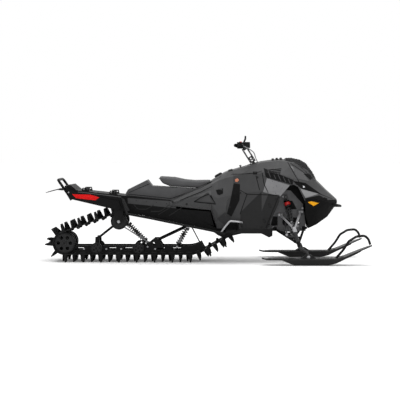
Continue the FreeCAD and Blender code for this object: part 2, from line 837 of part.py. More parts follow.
def bumper_points():
    """Route of the grab bar, from the tail's slanted rear edge up and back and across."""
    wide = tunnel_half_width - bumper_tube_radius
    tail = tunnel_points()
    low_x, low_z = tail[-1]
    high_x, high_z = tail[0]
    edge = math.hypot(high_x - low_x, high_z - low_z)
    away = bumper_tube_radius + fit_gap
    off_x = -(high_z - low_z) / edge * away
    off_z = (high_x - low_x) / edge * away
    points = [
        vec(low_x + off_x, wide, low_z + off_z),
        vec(low_x + off_x + (high_x - low_x) * 0.45, wide, low_z + off_z + (high_z - low_z) * 0.45),
        vec(high_x - bumper_rise * 1.15, wide * 0.92, high_z + bumper_rise),
        vec(high_x - bumper_rise * 1.25, wide * 0.62, high_z + bumper_rise * 1.04),
    ]
    return points + [vec(p.x, -p.y, p.z) for p in reversed(points)]


def make_bumper():
    return bent_tube(bumper_points(), bumper_tube_radius, bumper_tube_radius * 4)


tail_shares = [(0.002, 0.978), (0.010, 0.930), (0.036, 0.812), (0.045, 0.808), (0.300, 0.672), (0.318, 0.700),
               (0.304, 0.788), (0.100, 0.874), (0.060, 0.905)]


def make_tail_cover():
    """Moulded side covers on the tunnel's tail, with a pocket for the lamp."""
    outline = place(tail_shares, tunnel_rear_x, tunnel_length, tunnel_height)
    low = tunnel_half_width + fit_gap
    cover = prism(outline, low, low + lamp_depth)
    pocket = prism(lamp_points(), low + lamp_depth / 2, low + lamp_depth * 2)
    return group(both(cover.cut(pocket)))


lamp_shares = [(0.042, 0.882), (0.061, 0.840), (0.162, 0.802), (0.187, 0.822), (0.090, 0.862)]


def lamp_points():
    return place(lamp_shares, tunnel_rear_x, tunnel_length, tunnel_height)


def make_tail_lamps():
    low = tunnel_half_width + fit_gap + lamp_depth / 2 + fit_gap
    return group(both(prism(drawn_in(lamp_points(), fit_gap), low, low + lamp_depth * 0.7)))


def make_flap():
    """The rubber snow flap behind the tunnel."""
    root_x, root_z = tunnel_points()[0]
    top = root_z - tunnel_wall - fit_gap
    points = [(root_x + flap_length * 0.15, deck_height(root_x + flap_length * 0.15) - tunnel_wall - fit_gap),
              (root_x + flap_length * 0.05, deck_height(root_x + flap_length * 0.05) - tunnel_wall - fit_gap),
              (root_x - flap_length * 0.12, top - flap_length * 0.20),
              (root_x - flap_length * 0.40, top - flap_length * 0.17), (root_x - flap_length, top - flap_length * 0.33)]
    under = [(x, z - flap_thickness) for x, z in reversed(points)]
    return prism(points + under, -flap_half_width, flap_half_width)


anchor_shares = (0.115, 0.270)


def make_anchors():
    """Four low loops on the deck, for cargo."""
    anchors = []
    length = tunnel_length * 0.045
    height = tunnel_height * 0.036
    for share in anchor_shares:
        x = tunnel_rear_x + share * tunnel_length
        for side in (-1, 1):
            y = side * tunnel_half_width * 0.62
            z0 = deck_height(x - length / 2) + fit_gap
            z1 = deck_height(x + length / 2) + fit_gap
            top = max(z0, z1) + height
            outer = [(x - length / 2, z0), (x + length / 2, z1), (x + length * 0.40, top), (x - length * 0.40, top)]
            half = anchor_bore_radius * 1.9
            anchor = prism(outer, y - half, y + half)
            for end in (-1, 1):
                near = x + end * anchor_bore_radius * 1.35
                far = x + end * length * 0.36
                window = [(near, z0 + height * 0.25), (far, z0 + height * 0.25), (far - end * length * 0.04, top - height * 0.2),
                          (near, top - height * 0.2)]
                anchor = anchor.cut(prism(window, y - half * 2, y + half * 2))
            anchors.append(anchor.cut(Part.makeCylinder(anchor_bore_radius, height, vec(x, y, top - anchor_bore_depth))))
    return group(anchors)


def deck_height(x):
    """Height of the tunnel's deck at a place along it."""
    return between(tunnel_points()[:tunnel_top_count], x)


# Seat

base_shares = [(0.005, 0.795), (0.030, 0.835), (0.265, 0.945), (0.322, 0.874), (0.500, 0.862), (0.860, 0.840),
               (0.920, 0.780), (0.920, 0.710)]
cushion_shares = [(0.544, 0.8593), (0.460, 0.892), (0.400, 0.955), (0.418, 0.986), (0.605, 0.975), (0.730, 0.950),
                  (0.850, 0.940), (1.030, 0.943), (1.055, 0.928), (0.9085, 0.837)]
cushion_top_count = 7


def make_seat_base():
    """The firm lower part of the seat, with its raised storage hump."""
    outline = place(base_shares, seat_rear_x, seat_length, seat_height)
    under = []
    for share in (0.920, 0.548, 0.005):
        x = seat_rear_x + share * seat_length
        under.append((x, deck_height(x) + fit_gap))
    return prism(outline + under, -seat_half_width, seat_half_width)


def cushion_points(grown):
    """The cushion's side view, with its front and underside moved out by an allowance."""
    points = place(cushion_shares, seat_rear_x, seat_length, seat_height)
    front = cushion_top_count
    moved = [(x, z + fit_gap + grown) for x, z in points[:front]]
    moved += [(x + grown * 2, z + fit_gap + grown) for x, z in points[front:front + 1]]
    moved += [(x + grown * 2, z + fit_gap - grown) for x, z in points[front + 1:]]
    return moved


def make_cushion():
    return prism(cushion_points(0), -cushion_half_width, cushion_half_width)


# Body skin

# Each station: share of the length, then (half-width share, height share) from the keel to the ridge.
skin_shares = [
    (-0.280, [(0.70, 0.546), (0.71, 0.557), (0.71, 0.574), (0.63, 0.592), (0.40, 0.598), (0.00, 0.598)]),
    (-0.180, [(0.70, 0.532), (0.72, 0.560), (0.71, 0.602), (0.62, 0.642), (0.40, 0.652), (0.00, 0.652)]),
    (-0.091, [(0.70, 0.520), (0.73, 0.570), (0.72, 0.632), (0.60, 0.690), (0.39, 0.703), (0.00, 0.704)]),
    (0.030, [(0.70, 0.505), (0.77, 0.580), (0.73, 0.650), (0.54, 0.745), (0.31, 0.778), (0.00, 0.784)]),
    (0.085, [(0.74, 0.300), (0.84, 0.470), (0.80, 0.620), (0.56, 0.785), (0.31, 0.820), (0.00, 0.829)]),
    (0.150, [(0.78, 0.285), (0.88, 0.480), (0.84, 0.640), (0.60, 0.812), (0.32, 0.862), (0.00, 0.874)]),
    (0.255, [(0.82, 0.284), (0.97, 0.490), (0.94, 0.670), (0.68, 0.846), (0.34, 0.902), (0.00, 0.912)]),
    (0.415, [(0.82, 0.284), (1.00, 0.500), (0.98, 0.690), (0.74, 0.872), (0.37, 0.958), (0.00, 0.970)]),
    (0.473, [(0.76, 0.246), (0.968, 0.504), (0.976, 0.690), (0.756, 0.863), (0.378, 0.965), (0.00, 0.980)]),
    (0.560, [(0.72, 0.290), (0.92, 0.510), (0.97, 0.690), (0.78, 0.850), (0.39, 0.976), (0.00, 0.994)]),
    (0.665, [(0.60, 0.325), (0.82, 0.530), (0.92, 0.690), (0.78, 0.810), (0.39, 0.955), (0.00, 0.978)]),
    (0.765, [(0.50, 0.322), (0.74, 0.515), (0.82, 0.645), (0.70, 0.752), (0.38, 0.888), (0.00, 0.914)]),
    (0.840, [(0.44, 0.365), (0.64, 0.505), (0.72, 0.608), (0.58, 0.688), (0.34, 0.772), (0.00, 0.795)]),
    (0.925, [(0.34, 0.438), (0.48, 0.520), (0.56, 0.578), (0.46, 0.622), (0.27, 0.672), (0.00, 0.690)]),
    (0.970, [(0.26, 0.512), (0.37, 0.545), (0.43, 0.572), (0.35, 0.600), (0.20, 0.628), (0.00, 0.640)]),
    (1.000, [(0.18, 0.560), (0.25, 0.570), (0.29, 0.582), (0.24, 0.592), (0.13, 0.602), (0.00, 0.606)]),
]


def inset(half_section, depth):
    """Move a half section's corners inwards by a depth, keeping its ends on the middle plane's side."""
    moved = []
    count = len(half_section)
    for index, (y, z) in enumerate(half_section):
        before = half_section[index - 1] if index else (0, z)
        after = half_section[index + 1] if index + 1 < count else (-half_section[-2][0], half_section[-2][1])
        t0 = (y - before[0], z - before[1])
        t1 = (after[0] - y, after[1] - z)
        l0 = math.hypot(*t0)
        l1 = math.hypot(*t1)
        n0 = (-t0[1] / l0, t0[0] / l0)
        n1 = (-t1[1] / l1, t1[0] / l1)
        bend = 1 + n0[0] * n1[0] + n0[1] * n1[1]
        moved.append((y + (n0[0] + n1[0]) * depth / bend, z + (n0[1] + n1[1]) * depth / bend))
    moved[-1] = (0, moved[-1][1])
    return moved


def skin_sections(depth):
    sections = []
    last = len(skin_shares) - 1
    for index, (share, half) in enumerate(skin_shares):
        x = share * body_length
        if index == 0:
            x += depth
        if index == last:
            x -= depth
        points = [(sy * body_half_width, sz * body_height) for sy, sz in half]
        if depth:
            points = inset(points, depth)
        sections.append((x, points))
    return sections


def triangle(a, b, c):
    return Part.Face(Part.makePolygon([a, b, c, a]))


def skin_rings(depth):
    rings = []
    for x, points in skin_sections(depth):
        ring = [vec(x, 0, points[0][1])]
        ring += [vec(x, y, z) for y, z in points]
        rings.append(ring)
    return rings


def skin_half(depth):
    """One side of the body, closed along the middle plane, made of flat facets."""
    rings = skin_rings(depth)
    surface = skin_rings(0)
    faces = []
    for row, (here, there) in enumerate(zip(rings, rings[1:])):
        count = len(here)
        for index in range(count - 1):
            a, b = here[index], here[index + 1]
            c, d = there[index + 1], there[index]
            near, far = surface[row], surface[row + 1]
            across = (near[index + 1] - near[index]).cross(far[index + 1] - near[index])
            if across.dot(far[index] - near[index]) > 0:
                faces.append(triangle(a, b, d))
                faces.append(triangle(b, c, d))
            else:
                faces.append(triangle(a, b, c))
                faces.append(triangle(a, c, d))
    for ring in (rings[0], rings[-1]):
        faces.append(Part.Face(Part.makePolygon(ring + [ring[0]])))
    lows = [ring[0] for ring in rings]
    highs = [ring[-1] for ring in rings]
    faces.append(Part.Face(Part.makePolygon(lows + list(reversed(highs)) + [lows[0]])))
    shell = Part.makeShell(faces)
    solid = Part.Solid(shell)
    if solid.Volume < 0:
        solid.reverse()
    return solid


skins = {}


def whole_skin(depth):
    """The body as one solid, with its surface moved in by a depth, or out where the depth is below zero."""
    if depth not in skins:
        half = skin_half(depth)
        skins[depth] = half.fuse(mirrored(half)).removeSplitter()
    return skins[depth]


def skin_patch(points, near, far):
    """What lies inside a side-view outline, on the left, between two depths under the body's surface."""
    return prism(points, 0, overrun).common(whole_skin(near)).cut(whole_skin(far))


def skin_top(x, y):
    """Height of the body's upper surface at a place, between its stations."""
    stations = []
    for share, half in skin_shares:
        upper = [(sy * body_half_width, sz * body_height) for sy, sz in reversed(half[2:])]
        stations.append((share * body_length, between(upper, y)))
    return between(stations, x)


column = math.radians(column_deg)
column_axis = vec(-math.sin(column), 0, math.cos(column))
column_ahead = vec(math.cos(column), 0, math.sin(column))
column_base = vec(column_x, 0, skin_top(column_x, 0) + column_lift)


def at(shares):
    """Body outline points from shares of the body's length and height."""
    return place(shares, 0, body_length, body_height)


def seam(shares):
    """A thin blade along a seam, seen from the side, that parts two panels."""
    blades = []
    points = at(shares)
    for (x0, z0), (x1, z1) in zip(points, points[1:]):
        span = math.hypot(x1 - x0, z1 - z0)
        along = ((x1 - x0) / span, (z1 - z0) / span)
        side = (-along[1] * seam_gap / 2, along[0] * seam_gap / 2)
        x0 -= along[0] * seam_gap
        z0 -= along[1] * seam_gap
        x1 += along[0] * seam_gap
        z1 += along[1] * seam_gap
        ring = [(x0 - side[0], z0 - side[1]), (x1 - side[0], z1 - side[1]),
                (x1 + side[0], z1 + side[1]), (x0 + side[0], z0 + side[1])]
        blades.append(prism(ring, -overrun, overrun))
    return blades


# Seams between the panels, seen from the side.
hood_seam_shares = [(0.176, 0.900), (0.200, 0.855), (0.415, 0.850), (0.470, 0.812), (0.630, 0.745), (0.700, 0.600),
                    (1.010, 0.600)]
console_seam_shares = [(0.176, 1.100), (0.176, 0.900), (0.200, 0.855), (0.208, 0.700), (0.184, 0.634), (0.155, 0.605),
                       (0.146, 0.510), (0.146, 0.250)]
belly_seam_shares = [(-0.300, 0.330), (0.464, 0.330), (0.700, 0.330)]
accent_shares = [(0.425, 0.681), (0.456, 0.812), (0.630, 0.745), (0.556, 0.640)]
bay_shares = [(0.630, 0.742), (0.556, 0.640), (0.540, 0.560), (0.494, 0.435), (0.464, 0.359), (0.462, 0.330),
              (0.500, 0.330), (0.500, 0.200), (0.790, 0.200), (0.770, 0.380), (0.750, 0.450), (0.748, 0.560),
              (0.738, 0.612), (0.716, 0.669), (0.692, 0.728), (0.660, 0.750)]

# What is let into the panels, seen from the side.
lens_shares = [(0.710, 0.714), (0.724, 0.677), (0.749, 0.624), (0.802, 0.6435), (0.852, 0.660), (0.772, 0.690)]
marker_shares = [(0.7665, 0.583), (0.793, 0.592), (0.854, 0.573), (0.812, 0.545)]
intake_shares = [(0.655, 0.781), (0.7245, 0.764), (0.755, 0.735), (0.776, 0.712), (0.712, 0.726), (0.672, 0.757)]
window_shares = [(-0.098, 0.583), (0.0085, 0.673), (0.0696, 0.559)]
port_shares = [(0.0696, 0.692), (0.0923, 0.706), (0.115, 0.711), (0.123, 0.678), (0.1077, 0.659), (0.081, 0.659)]
liner_shares = [(-0.125, 0.572), (0.005, 0.692), (0.060, 0.722), (0.130, 0.728), (0.137, 0.640), (0.090, 0.548)]
foot_pad_shares = [(0.077, 0.4245), (0.138, 0.491), (0.1835, 0.4435), (0.130, 0.368)]
groove_shares = [(-0.262, 0.572), (-0.180, 0.610), (-0.091, 0.656), (0.030, 0.716)]
vent_shares = [(0.462, 0.815), (0.568, 0.827)]
vent_count = 5
pad_rib_count = 6


def strip(points, width):
    """A narrow side-view band that hangs under a line of points."""
    return points + [(x, z - width) for x, z in reversed(points)]


def vents():
    """Slots high on the hood's sides, one under another."""
    slots = []
    for index in range(vent_count):
        drop = index * slat_gap * 2.6
        lean = index * slat_gap * 0.8
        line = [(x - lean, z + vent_count * slat_gap * 2.6 - drop) for x, z in at(vent_shares)]
        slots.append(prism(strip(line, slat_gap * 1.3), -overrun, overrun))
    return slots


def grooves():
    """Two shallow grooves along the console's sides."""
    cuts = []
    for drop in (0, groove_width * 2):
        line = [(x, z - drop) for x, z in at(groove_shares)]
        cuts += both(skin_patch(strip(line, groove_width), -fit_gap, groove_depth))
    return cuts


def make_lenses():
    return group(both(skin_patch(drawn_in(at(lens_shares), fit_gap), lens_recess, lens_recess + lens_thickness)))


def make_markers():
    outline = drawn_in(at(marker_shares), fit_gap)
    return group(both(skin_patch(outline, -lens_recess, lens_thickness - lens_recess)))


def make_screens():
    """Slatted screens in the two front intakes."""
    outline = drawn_in(at(intake_shares), fit_gap)
    screen = skin_patch(outline, screen_recess, screen_recess + panel_wall / 2)
    clear = prism(drawn_in(outline, screen_rim), 0, overrun)
    low = min(z for x, z in outline)
    high = max(z for x, z in outline)
    left_x = min(x for x, z in outline)
    right_x = max(x for x, z in outline)
    slots = []
    z = low
    while z < high:
        slots.append(clear.common(box(left_x, right_x, 0, overrun, z, z + slat_gap)))
        z += slat_gap * 2
    return group(both(screen.cut([slot for slot in slots if slot.Solids])))


def make_liners():
    """Dark plates behind the openings in the console's sides."""
    return group(both(skin_patch(at(liner_shares), panel_wall + fit_gap, panel_wall * 2)))


def make_foot_pads():
    """Ribbed pads where the body flares out beside the rider's feet."""
    outline = at(foot_pad_shares)
    pad = skin_patch(outline, -pad_thickness, -fit_gap)
    (x0, z0), (x1, z1) = outline[0], outline[1]
    (x3, z3) = outline[3]
    cuts = []
    for index in range(pad_rib_count):
        near = (index + 0.6) / pad_rib_count
        far = near + 0.35 / pad_rib_count
        ring = []
        for along, across in ((near, -0.1), (far, -0.1), (far, 1.1), (near, 1.1)):
            ring.append((x0 + (x1 - x0) * along + (x3 - x0) * across, z0 + (z1 - z0) * along + (z3 - z0) * across))
        cuts.append(skin_patch(ring, -pad_thickness - fit_gap, -pad_thickness / 2))
    return group(both(pad.cut(cuts)))


# Along the bar: shares of the body's length, of its height and of the bar's own place out from the middle.
toe_hold_shares = [(0.098, 0.280, 1.00), (0.127, 0.334, 1.00), (0.1754, 0.4096, 1.00), (0.245, 0.401, 1.00),
                   (0.272, 0.392, 0.80)]


def make_toe_holds():
    """Bent bars from the running boards to the body, over the rider's toes."""
    points = [vec(sx * body_length, sy * toe_bar_y, sz * body_height) for sx, sz, sy in toe_hold_shares]
    bar = bent_tube(points, toe_bar_radius, toe_bar_radius * 4)
    top = [(x, z + fit_gap) for x, z in board_points()]
    ground = prism(top + [(top[-1][0], 0), (top[0][0], 0)], 0, overrun)
    whole = bar.cut([ground, whole_skin(-fit_gap)])
    return group(both(max(whole.Solids, key=lambda solid: solid.Volume)))


class Skin:
    """The whole body's wall, before it is parted into panels."""

    def __init__(self):
        self.wall = whole_skin(0).cut(whole_skin(panel_wall))
        bay = prism(at(bay_shares), -overrun, overrun)
        half = tunnel_half_width + fit_gap
        deck = [(x, z + fit_gap) for x, z in tunnel_points()[1:tunnel_top_count]]
        front_x, front_z = deck.pop()
        deck += [(front_x + fit_gap, front_z), (front_x + fit_gap, -overrun), (deck[0][0], -overrun)]
        seat = prism(cushion_points(fit_gap), -cushion_half_width - fit_gap, cushion_half_width + fit_gap)
        seat_front = seat_rear_x + max(share for share, height in base_shares) * seat_length + fit_gap
        well = box(seat_rear_x - overrun, seat_front, -seat_half_width - fit_gap, seat_half_width + fit_gap,
                   0, body_height)
        self.wall = self.wall.cut([bay, prism(deck, -half, half), seat, well])
        for shares in (lens_shares, marker_shares, intake_shares, window_shares, port_shares):
            self.wall = self.wall.cut(prism(at(shares), -overrun, overrun))
        self.wall = self.wall.cut(vents() + grooves())
        blades = []
        for shares in (hood_seam_shares, console_seam_shares, belly_seam_shares):
            blades += seam(shares)
        blades += seam(accent_shares + accent_shares[:1])
        hatch = rod(column_base - column_axis * (riser_length * 0.5), column_base + column_axis * (riser_length * 0.5),
                    hatch_radius)
        self.parted = self.wall.cut(blades + [hatch])

    def panel(self, shares, y_low, y_high):
        """The part of the wall inside a side-view outline."""
        return self.parted.common(prism(at(shares), y_low, y_high))


console_shares = [(-0.300, 1.100), (0.176, 1.100), (0.176, 0.900), (0.200, 0.855), (0.208, 0.700), (0.184, 0.634),
                  (0.155, 0.605), (0.146, 0.510), (0.146, 0.330), (-0.300, 0.330)]
side_shares = [(0.200, 0.855), (0.415, 0.850), (0.470, 0.812), (0.630, 0.745), (0.556, 0.640), (0.540, 0.560),
               (0.494, 0.435), (0.464, 0.359), (0.460, 0.330), (0.146, 0.330), (0.146, 0.510), (0.155, 0.605),
               (0.184, 0.634), (0.208, 0.700)]
hood_shares = [(0.176, 1.100), (1.010, 1.100), (1.010, 0.600), (0.700, 0.600), (0.630, 0.745), (0.470, 0.812),
               (0.415, 0.850), (0.200, 0.855), (0.176, 0.900)]
nose_shares = [(0.700, 0.600), (1.010, 0.600), (1.010, 0.100), (0.700, 0.100)]
belly_shares = [(0.142, 0.330), (0.500, 0.330), (0.500, 0.100), (0.142, 0.100)]


# Front frame

frame_half_width = 118.0
frame_plate = 5.0
beam_height = 40.0
frame_nose_share = 0.758
frame_shares = [(0.00, 0.300), (1.00, 0.300), (1.00, 0.370), (0.92, 0.560), (0.59, 0.690), (0.31, 0.690),
                (0.10, 0.560)]
frame_window_shares = [
    [(0.05, 0.345), (0.24, 0.345), (0.24, 0.440), (0.11, 0.440)],
    [(0.66, 0.360), (0.87, 0.360), (0.80, 0.430), (0.66, 0.430)],
    [(0.45, 0.500), (0.76, 0.510), (0.64, 0.590), (0.42, 0.590)]]
cross_tube_shares = [(0.40, 0.325), (0.96, 0.340), (0.90, 0.550), (0.45, 0.670), (0.17, 0.540)]
upper_pivot_shares = [(0.31, 0.455), (0.86, 0.484)]
lower_pivot_shares = [(0.156, 0.322), (0.955, 0.330)]
engine_rear_x = tunnel_front_x() + engine_clearance
frame_rear_x = engine_rear_x + engine_length + engine_clearance
frame_length = frame_nose_share * body_length - frame_rear_x
beam_low_z = frame_shares[0][1] * body_height


def in_frame(shares):
    """Places from shares of the frame's length and the body's height."""
    return place(shares, frame_rear_x, frame_length, body_height)


def pivot_points(shares, y):
    return [vec(x, y, z) for x, z in in_frame(shares)]


def make_front_frame():
    """Two plates with cross tubes, carrying the arms' pivots."""
    plate = prism(in_frame(frame_shares), frame_half_width - frame_plate, frame_half_width)
    plate = plate.cut([prism(in_frame(shares), 0, overrun) for shares in frame_window_shares])
    inner = tie_inner_point()
    plate = plate.cut(cross_rod(inner.x + steering_arm_length * 0.07, tie_height_at(frame_half_width),
                                tie_rod_radius * 4.6, 0, overrun))
    parts = both(plate)
    parts += both(box(tunnel_front_x() + fit_gap, frame_rear_x + arm_pivot_radius,
                      frame_half_width - shaft_radius * 2, frame_half_width, beam_low_z, beam_low_z + beam_height))
    high = shock_top()
    pin = cross_rod(high.x, high.z, arm_pin_radius, high.y - shaft_radius * 1.5, -frame_half_width + frame_plate / 2)
    boss = cross_rod(high.x, high.z, shaft_radius, high.y + shaft_radius + fit_gap, -frame_half_width + frame_plate / 2)
    parts += both(pin.fuse(boss))
    seat = column_base - column_axis * (post_length - post_radius * 4.4)
    block = cross_rod(seat.x, seat.z, post_radius * 1.8, -frame_half_width, frame_half_width)
    bore = rod(seat - column_axis * overrun, seat + column_axis * overrun, post_radius + kingpin_clearance)
    parts.append(block.cut(bore))
    for x, z in in_frame(cross_tube_shares):
        parts.append(cross_rod(x, z, shaft_radius, -frame_half_width, frame_half_width))
    for shares in (upper_pivot_shares, lower_pivot_shares):
        for point in pivot_points(shares, frame_half_width + arm_pivot_radius):
            half = vec(arm_pivot_length / 2 + frame_plate * 2.6, 0, 0)
            pin = rod(point - half, point + half, arm_pin_radius)
            stand = arm_pivot_radius + frame_plate / 2
            ears = []
            for side in (-1, 1):
                x = point.x + side * (arm_pivot_length / 2 + frame_plate * 1.4 + fit_gap)
                ears.append(box(x - frame_plate, x + frame_plate, point.y - stand, point.y + arm_pin_radius * 1.2,
                                point.z - arm_pin_radius * 1.6, point.z + arm_pin_radius * 1.6))
            parts += both(join([pin] + ears))
    return join(parts)


caster = math.radians(caster_deg)
kingpin_axis = vec(-math.sin(caster), 0, math.cos(caster))


def kingpin_point(z, side=-1):
    x = kingpin_top_x + (kingpin_top_z - z) * math.tan(caster)
    return vec(x, side * kingpin_half_stance, z)


def arm_eye(centre):
    half = kingpin_axis * (eye_length / 2)
    eye = rod(centre - half, centre + half, eye_radius)
    return eye


def make_arm(pivot_shares, centre, radius, extra):
    """A wishbone: two legs from the frame to one eye on the kingpin."""
    side = -1
    parts = [arm_eye(centre)] + extra
    cuts = []
    half_pin = kingpin_axis * overrun
    cuts.append(rod(centre - half_pin * 0.2, centre + half_pin * 0.2, kingpin_radius + kingpin_clearance))
    for point in pivot_points(pivot_shares, side * (frame_half_width + arm_pivot_radius)):
        half = vec(arm_pivot_length / 2, 0, 0)
        parts.append(rod(point - half, point + half, arm_pivot_radius))
        cuts.append(rod(point - half * 3, point + half * 3, arm_pin_radius + kingpin_clearance))
        toward = (centre - point).normalize()
        parts.append(rod(point, centre - toward * (eye_radius * 0.3), radius))
    return join(parts).cut(cuts)


shock_top_share = (0.458, 0.628)


def shock_top():
    """Where the front damper's upper eye sits on the frame's pin."""
    x, z = in_frame([shock_top_share])[0]
    return vec(x, -frame_half_width - shaft_radius * 1.6, z)


def shock_bar():
    """The two ends of the lower arm's bar that the front damper stands on."""
    lower = kingpin_point(kingpin_low_z)
    pivots = pivot_points(lower_pivot_shares, -frame_half_width - arm_pivot_radius)
    return [lower * 0.60 + pivot * 0.40 for pivot in pivots]


def make_front_damper():
    high = shock_top()
    back, ahead = shock_bar()
    low = (back + ahead) * 0.5
    body = damper(low, high, shaft_radius * 2, vec(1, 0, 0))
    upper_hole = cross_rod(high.x, high.z, arm_pin_radius + fit_gap, -overrun, 0)
    return body.cut([rod(back, ahead, axle_radius + fit_gap), upper_hole]), spring_between(low, high)


def make_spindle(side):
    """The upright that turns in the two arms' eyes and carries the ski."""
    high = kingpin_point(kingpin_top_z)
    low = kingpin_point(kingpin_low_z)
    half_eye = kingpin_axis * (eye_length / 2 + fit_gap)
    over = kingpin_axis * (eye_length / 2 + fit_gap + kingpin_radius * 0.8)
    parts = [
        rod(low - over, high + over, kingpin_radius),
        rod(low + half_eye, high - half_eye, spindle_radius),
        rod(high + half_eye, high + over, kingpin_radius * 1.6),
    ]
    foot = vec(ski_bolt_x, -ski_half_stance, ski_bolt_z)
    below = low - half_eye
    collar = rod(below, below - kingpin_axis * spindle_radius, spindle_radius)
    knee = below - kingpin_axis * (spindle_radius * 0.9)
    blade_half = spindle_radius * 0.9
    bend = vec(foot.x - spindle_radius * 1.2, foot.y, foot.z + spindle_radius * 3)
    leg = rod(knee, bend, blade_half).fuse([rod(bend, foot, blade_half), Part.makeSphere(blade_half, bend)])
    saddle = cross_rod(foot.x, foot.z, ski_bolt_radius * 2.2, foot.y - spindle_radius, foot.y + spindle_radius)
    arm_root = kingpin_point((kingpin_top_z + kingpin_low_z) / 2)
    arm_end = arm_root + vec(-steering_arm_length, 0, 0)
    arm = rod(arm_root, arm_end, spindle_radius * 0.55)
    pad_half = kingpin_axis * (spindle_radius * 0.6)
    pad = rod(arm_end - pad_half, arm_end + pad_half, spindle_radius * 0.8)
    parts += [collar, leg, saddle, arm, pad, Part.makeSphere(spindle_radius * 0.95, knee)]
    whole = join(parts)
    whole = whole.cut(cross_rod(foot.x, foot.z, ski_bolt_radius + kingpin_clearance, -overrun * 2, 0))
    return whole if side < 0 else mirrored(whole)


def tie_rod_outer():
    root = kingpin_point((kingpin_top_z + kingpin_low_z) / 2)
    return root + vec(-steering_arm_length, 0, 0)


def tie_start():
    """Middle of the tie rod's ball end, over the steering arm's pad."""
    return tie_rod_outer() + kingpin_axis * (spindle_radius * 0.6 + fit_gap + tie_rod_radius * 1.2)


def tie_inner_point():
    start = tie_start()
    return vec(start.x, -tie_inner_y, start.z + tie_rise)


def tie_height_at(y):
    """Height of the tie rod where it passes a distance out from the middle plane."""
    start = tie_start()
    return start.z + tie_rise * (-start.y - y) / (-start.y - tie_inner_y)


def make_tie_rod(side):
    """The rod that pushes the spindle's arm: a ball end on the arm, and an open inner end."""
    outer = tie_rod_outer()
    lift = kingpin_axis * (spindle_radius * 0.6 + fit_gap)
    inner = tie_inner_point()
    parts = [
        rod(outer + lift, outer + lift + kingpin_axis * (tie_rod_radius * 2.4), tie_rod_radius * 1.7),
        rod(tie_start(), inner, tie_rod_radius),
        Part.makeSphere(tie_rod_radius * 1.5, inner),
    ]
    whole = join(parts)
    return whole if side < 0 else mirrored(whole)


# Skis

ski_top_shares = [(0.000, 0.380), (0.040, 0.330), (0.680, 0.345), (0.755, 0.470), (0.845, 0.675), (0.940, 0.880),
                  (1.000, 1.000)]
ski_plan_shares = [(0.000, 0.20), (0.020, 0.40), (0.060, 0.66), (0.200, 0.96), (0.550, 1.00), (0.760, 0.98),
                   (0.900, 0.76), (0.970, 0.46), (1.000, 0.20)]
keel_shares = [(0.165, 0.285), (0.255, 0.090), (0.300, 0.000), (0.600, 0.000), (0.680, 0.110), (0.755, 0.310),
               (0.845, 0.530), (0.900, 0.680), (0.900, 0.760), (0.845, 0.640), (0.755, 0.440), (0.680, 0.315),
               (0.165, 0.300)]


def make_ski(side):
    """A plastic ski: a curved deck with a deep keel and two saddle ears, and the bolt through them."""
    top = place(ski_top_shares, ski_rear_x, ski_length, ski_height)
    under = [(x, z - ski_thickness) for x, z in reversed(top)]
    deck = prism(top + under, -ski_half_stance - ski_width / 2, -ski_half_stance + ski_width / 2)
    half = ski_width / 2
    plan = [(ski_rear_x + sx * ski_length, -ski_half_stance + sy * half) for sx, sy in ski_plan_shares]
    plan += [(ski_rear_x + sx * ski_length, -ski_half_stance - sy * half) for sx, sy in reversed(ski_plan_shares)]
    deck = deck.common(plan_prism(plan, -overrun, overrun))
    keel_points = place(keel_shares, ski_rear_x, ski_length, ski_height)
    keel = prism(keel_points, -ski_half_stance - keel_width / 2, -ski_half_stance + keel_width / 2)
    deck_z = ski_height * 0.335
    ears = []
    ear_low = spindle_radius + fit_gap * 4
    for sign in (-1, 1):
        y0 = -ski_half_stance + sign * ear_low
        y1 = -ski_half_stance + sign * (ear_low + ski_thickness)
        ear = [(ski_bolt_x - ski_length * 0.085, deck_z - ski_thickness / 2),
               (ski_bolt_x + ski_length * 0.085, deck_z - ski_thickness / 2),
               (ski_bolt_x + ski_bolt_radius * 3, ski_bolt_z + ski_bolt_radius * 2.6),
               (ski_bolt_x - ski_bolt_radius * 3, ski_bolt_z + ski_bolt_radius * 2.6)]
        ears.append(prism(ear, min(y0, y1), max(y0, y1)))
    reach = ear_low + ski_thickness * 1.5
    bolt = cross_rod(ski_bolt_x, ski_bolt_z, ski_bolt_radius, -ski_half_stance - reach, -ski_half_stance + reach)
    whole = join([deck, keel, bolt] + ears)
    well = box(ski_bolt_x - ski_length * 0.06, ski_bolt_x + ski_length * 0.06, -ski_half_stance - ear_low,
               -ski_half_stance + ear_low, ski_bolt_z - ski_bolt_radius * 2.2 - ski_thickness * 0.5, deck_z + ski_thickness)
    whole = whole.cut([well.cut(bolt), loop_tube(fit_gap)])
    return whole if side < 0 else mirrored(whole)


loop_shares = [(0.678, 0.250), (0.742, 0.520), (0.790, 0.800), (0.860, 0.955), (0.935, 0.985), (0.968, 0.870),
               (0.985, 0.690)]


def loop_tube(grown):
    points = []
    for sx, sz in loop_shares:
        points.append(vec(ski_rear_x + sx * ski_length, -ski_half_stance, sz * loop_height))
    return bent_tube(points, loop_tube_radius + grown, ski_length * 0.06)


def make_ski_loop(side):
    """The grab loop on the ski's tip."""
    tube = loop_tube(0)
    return tube if side < 0 else mirrored(tube)


# Steering

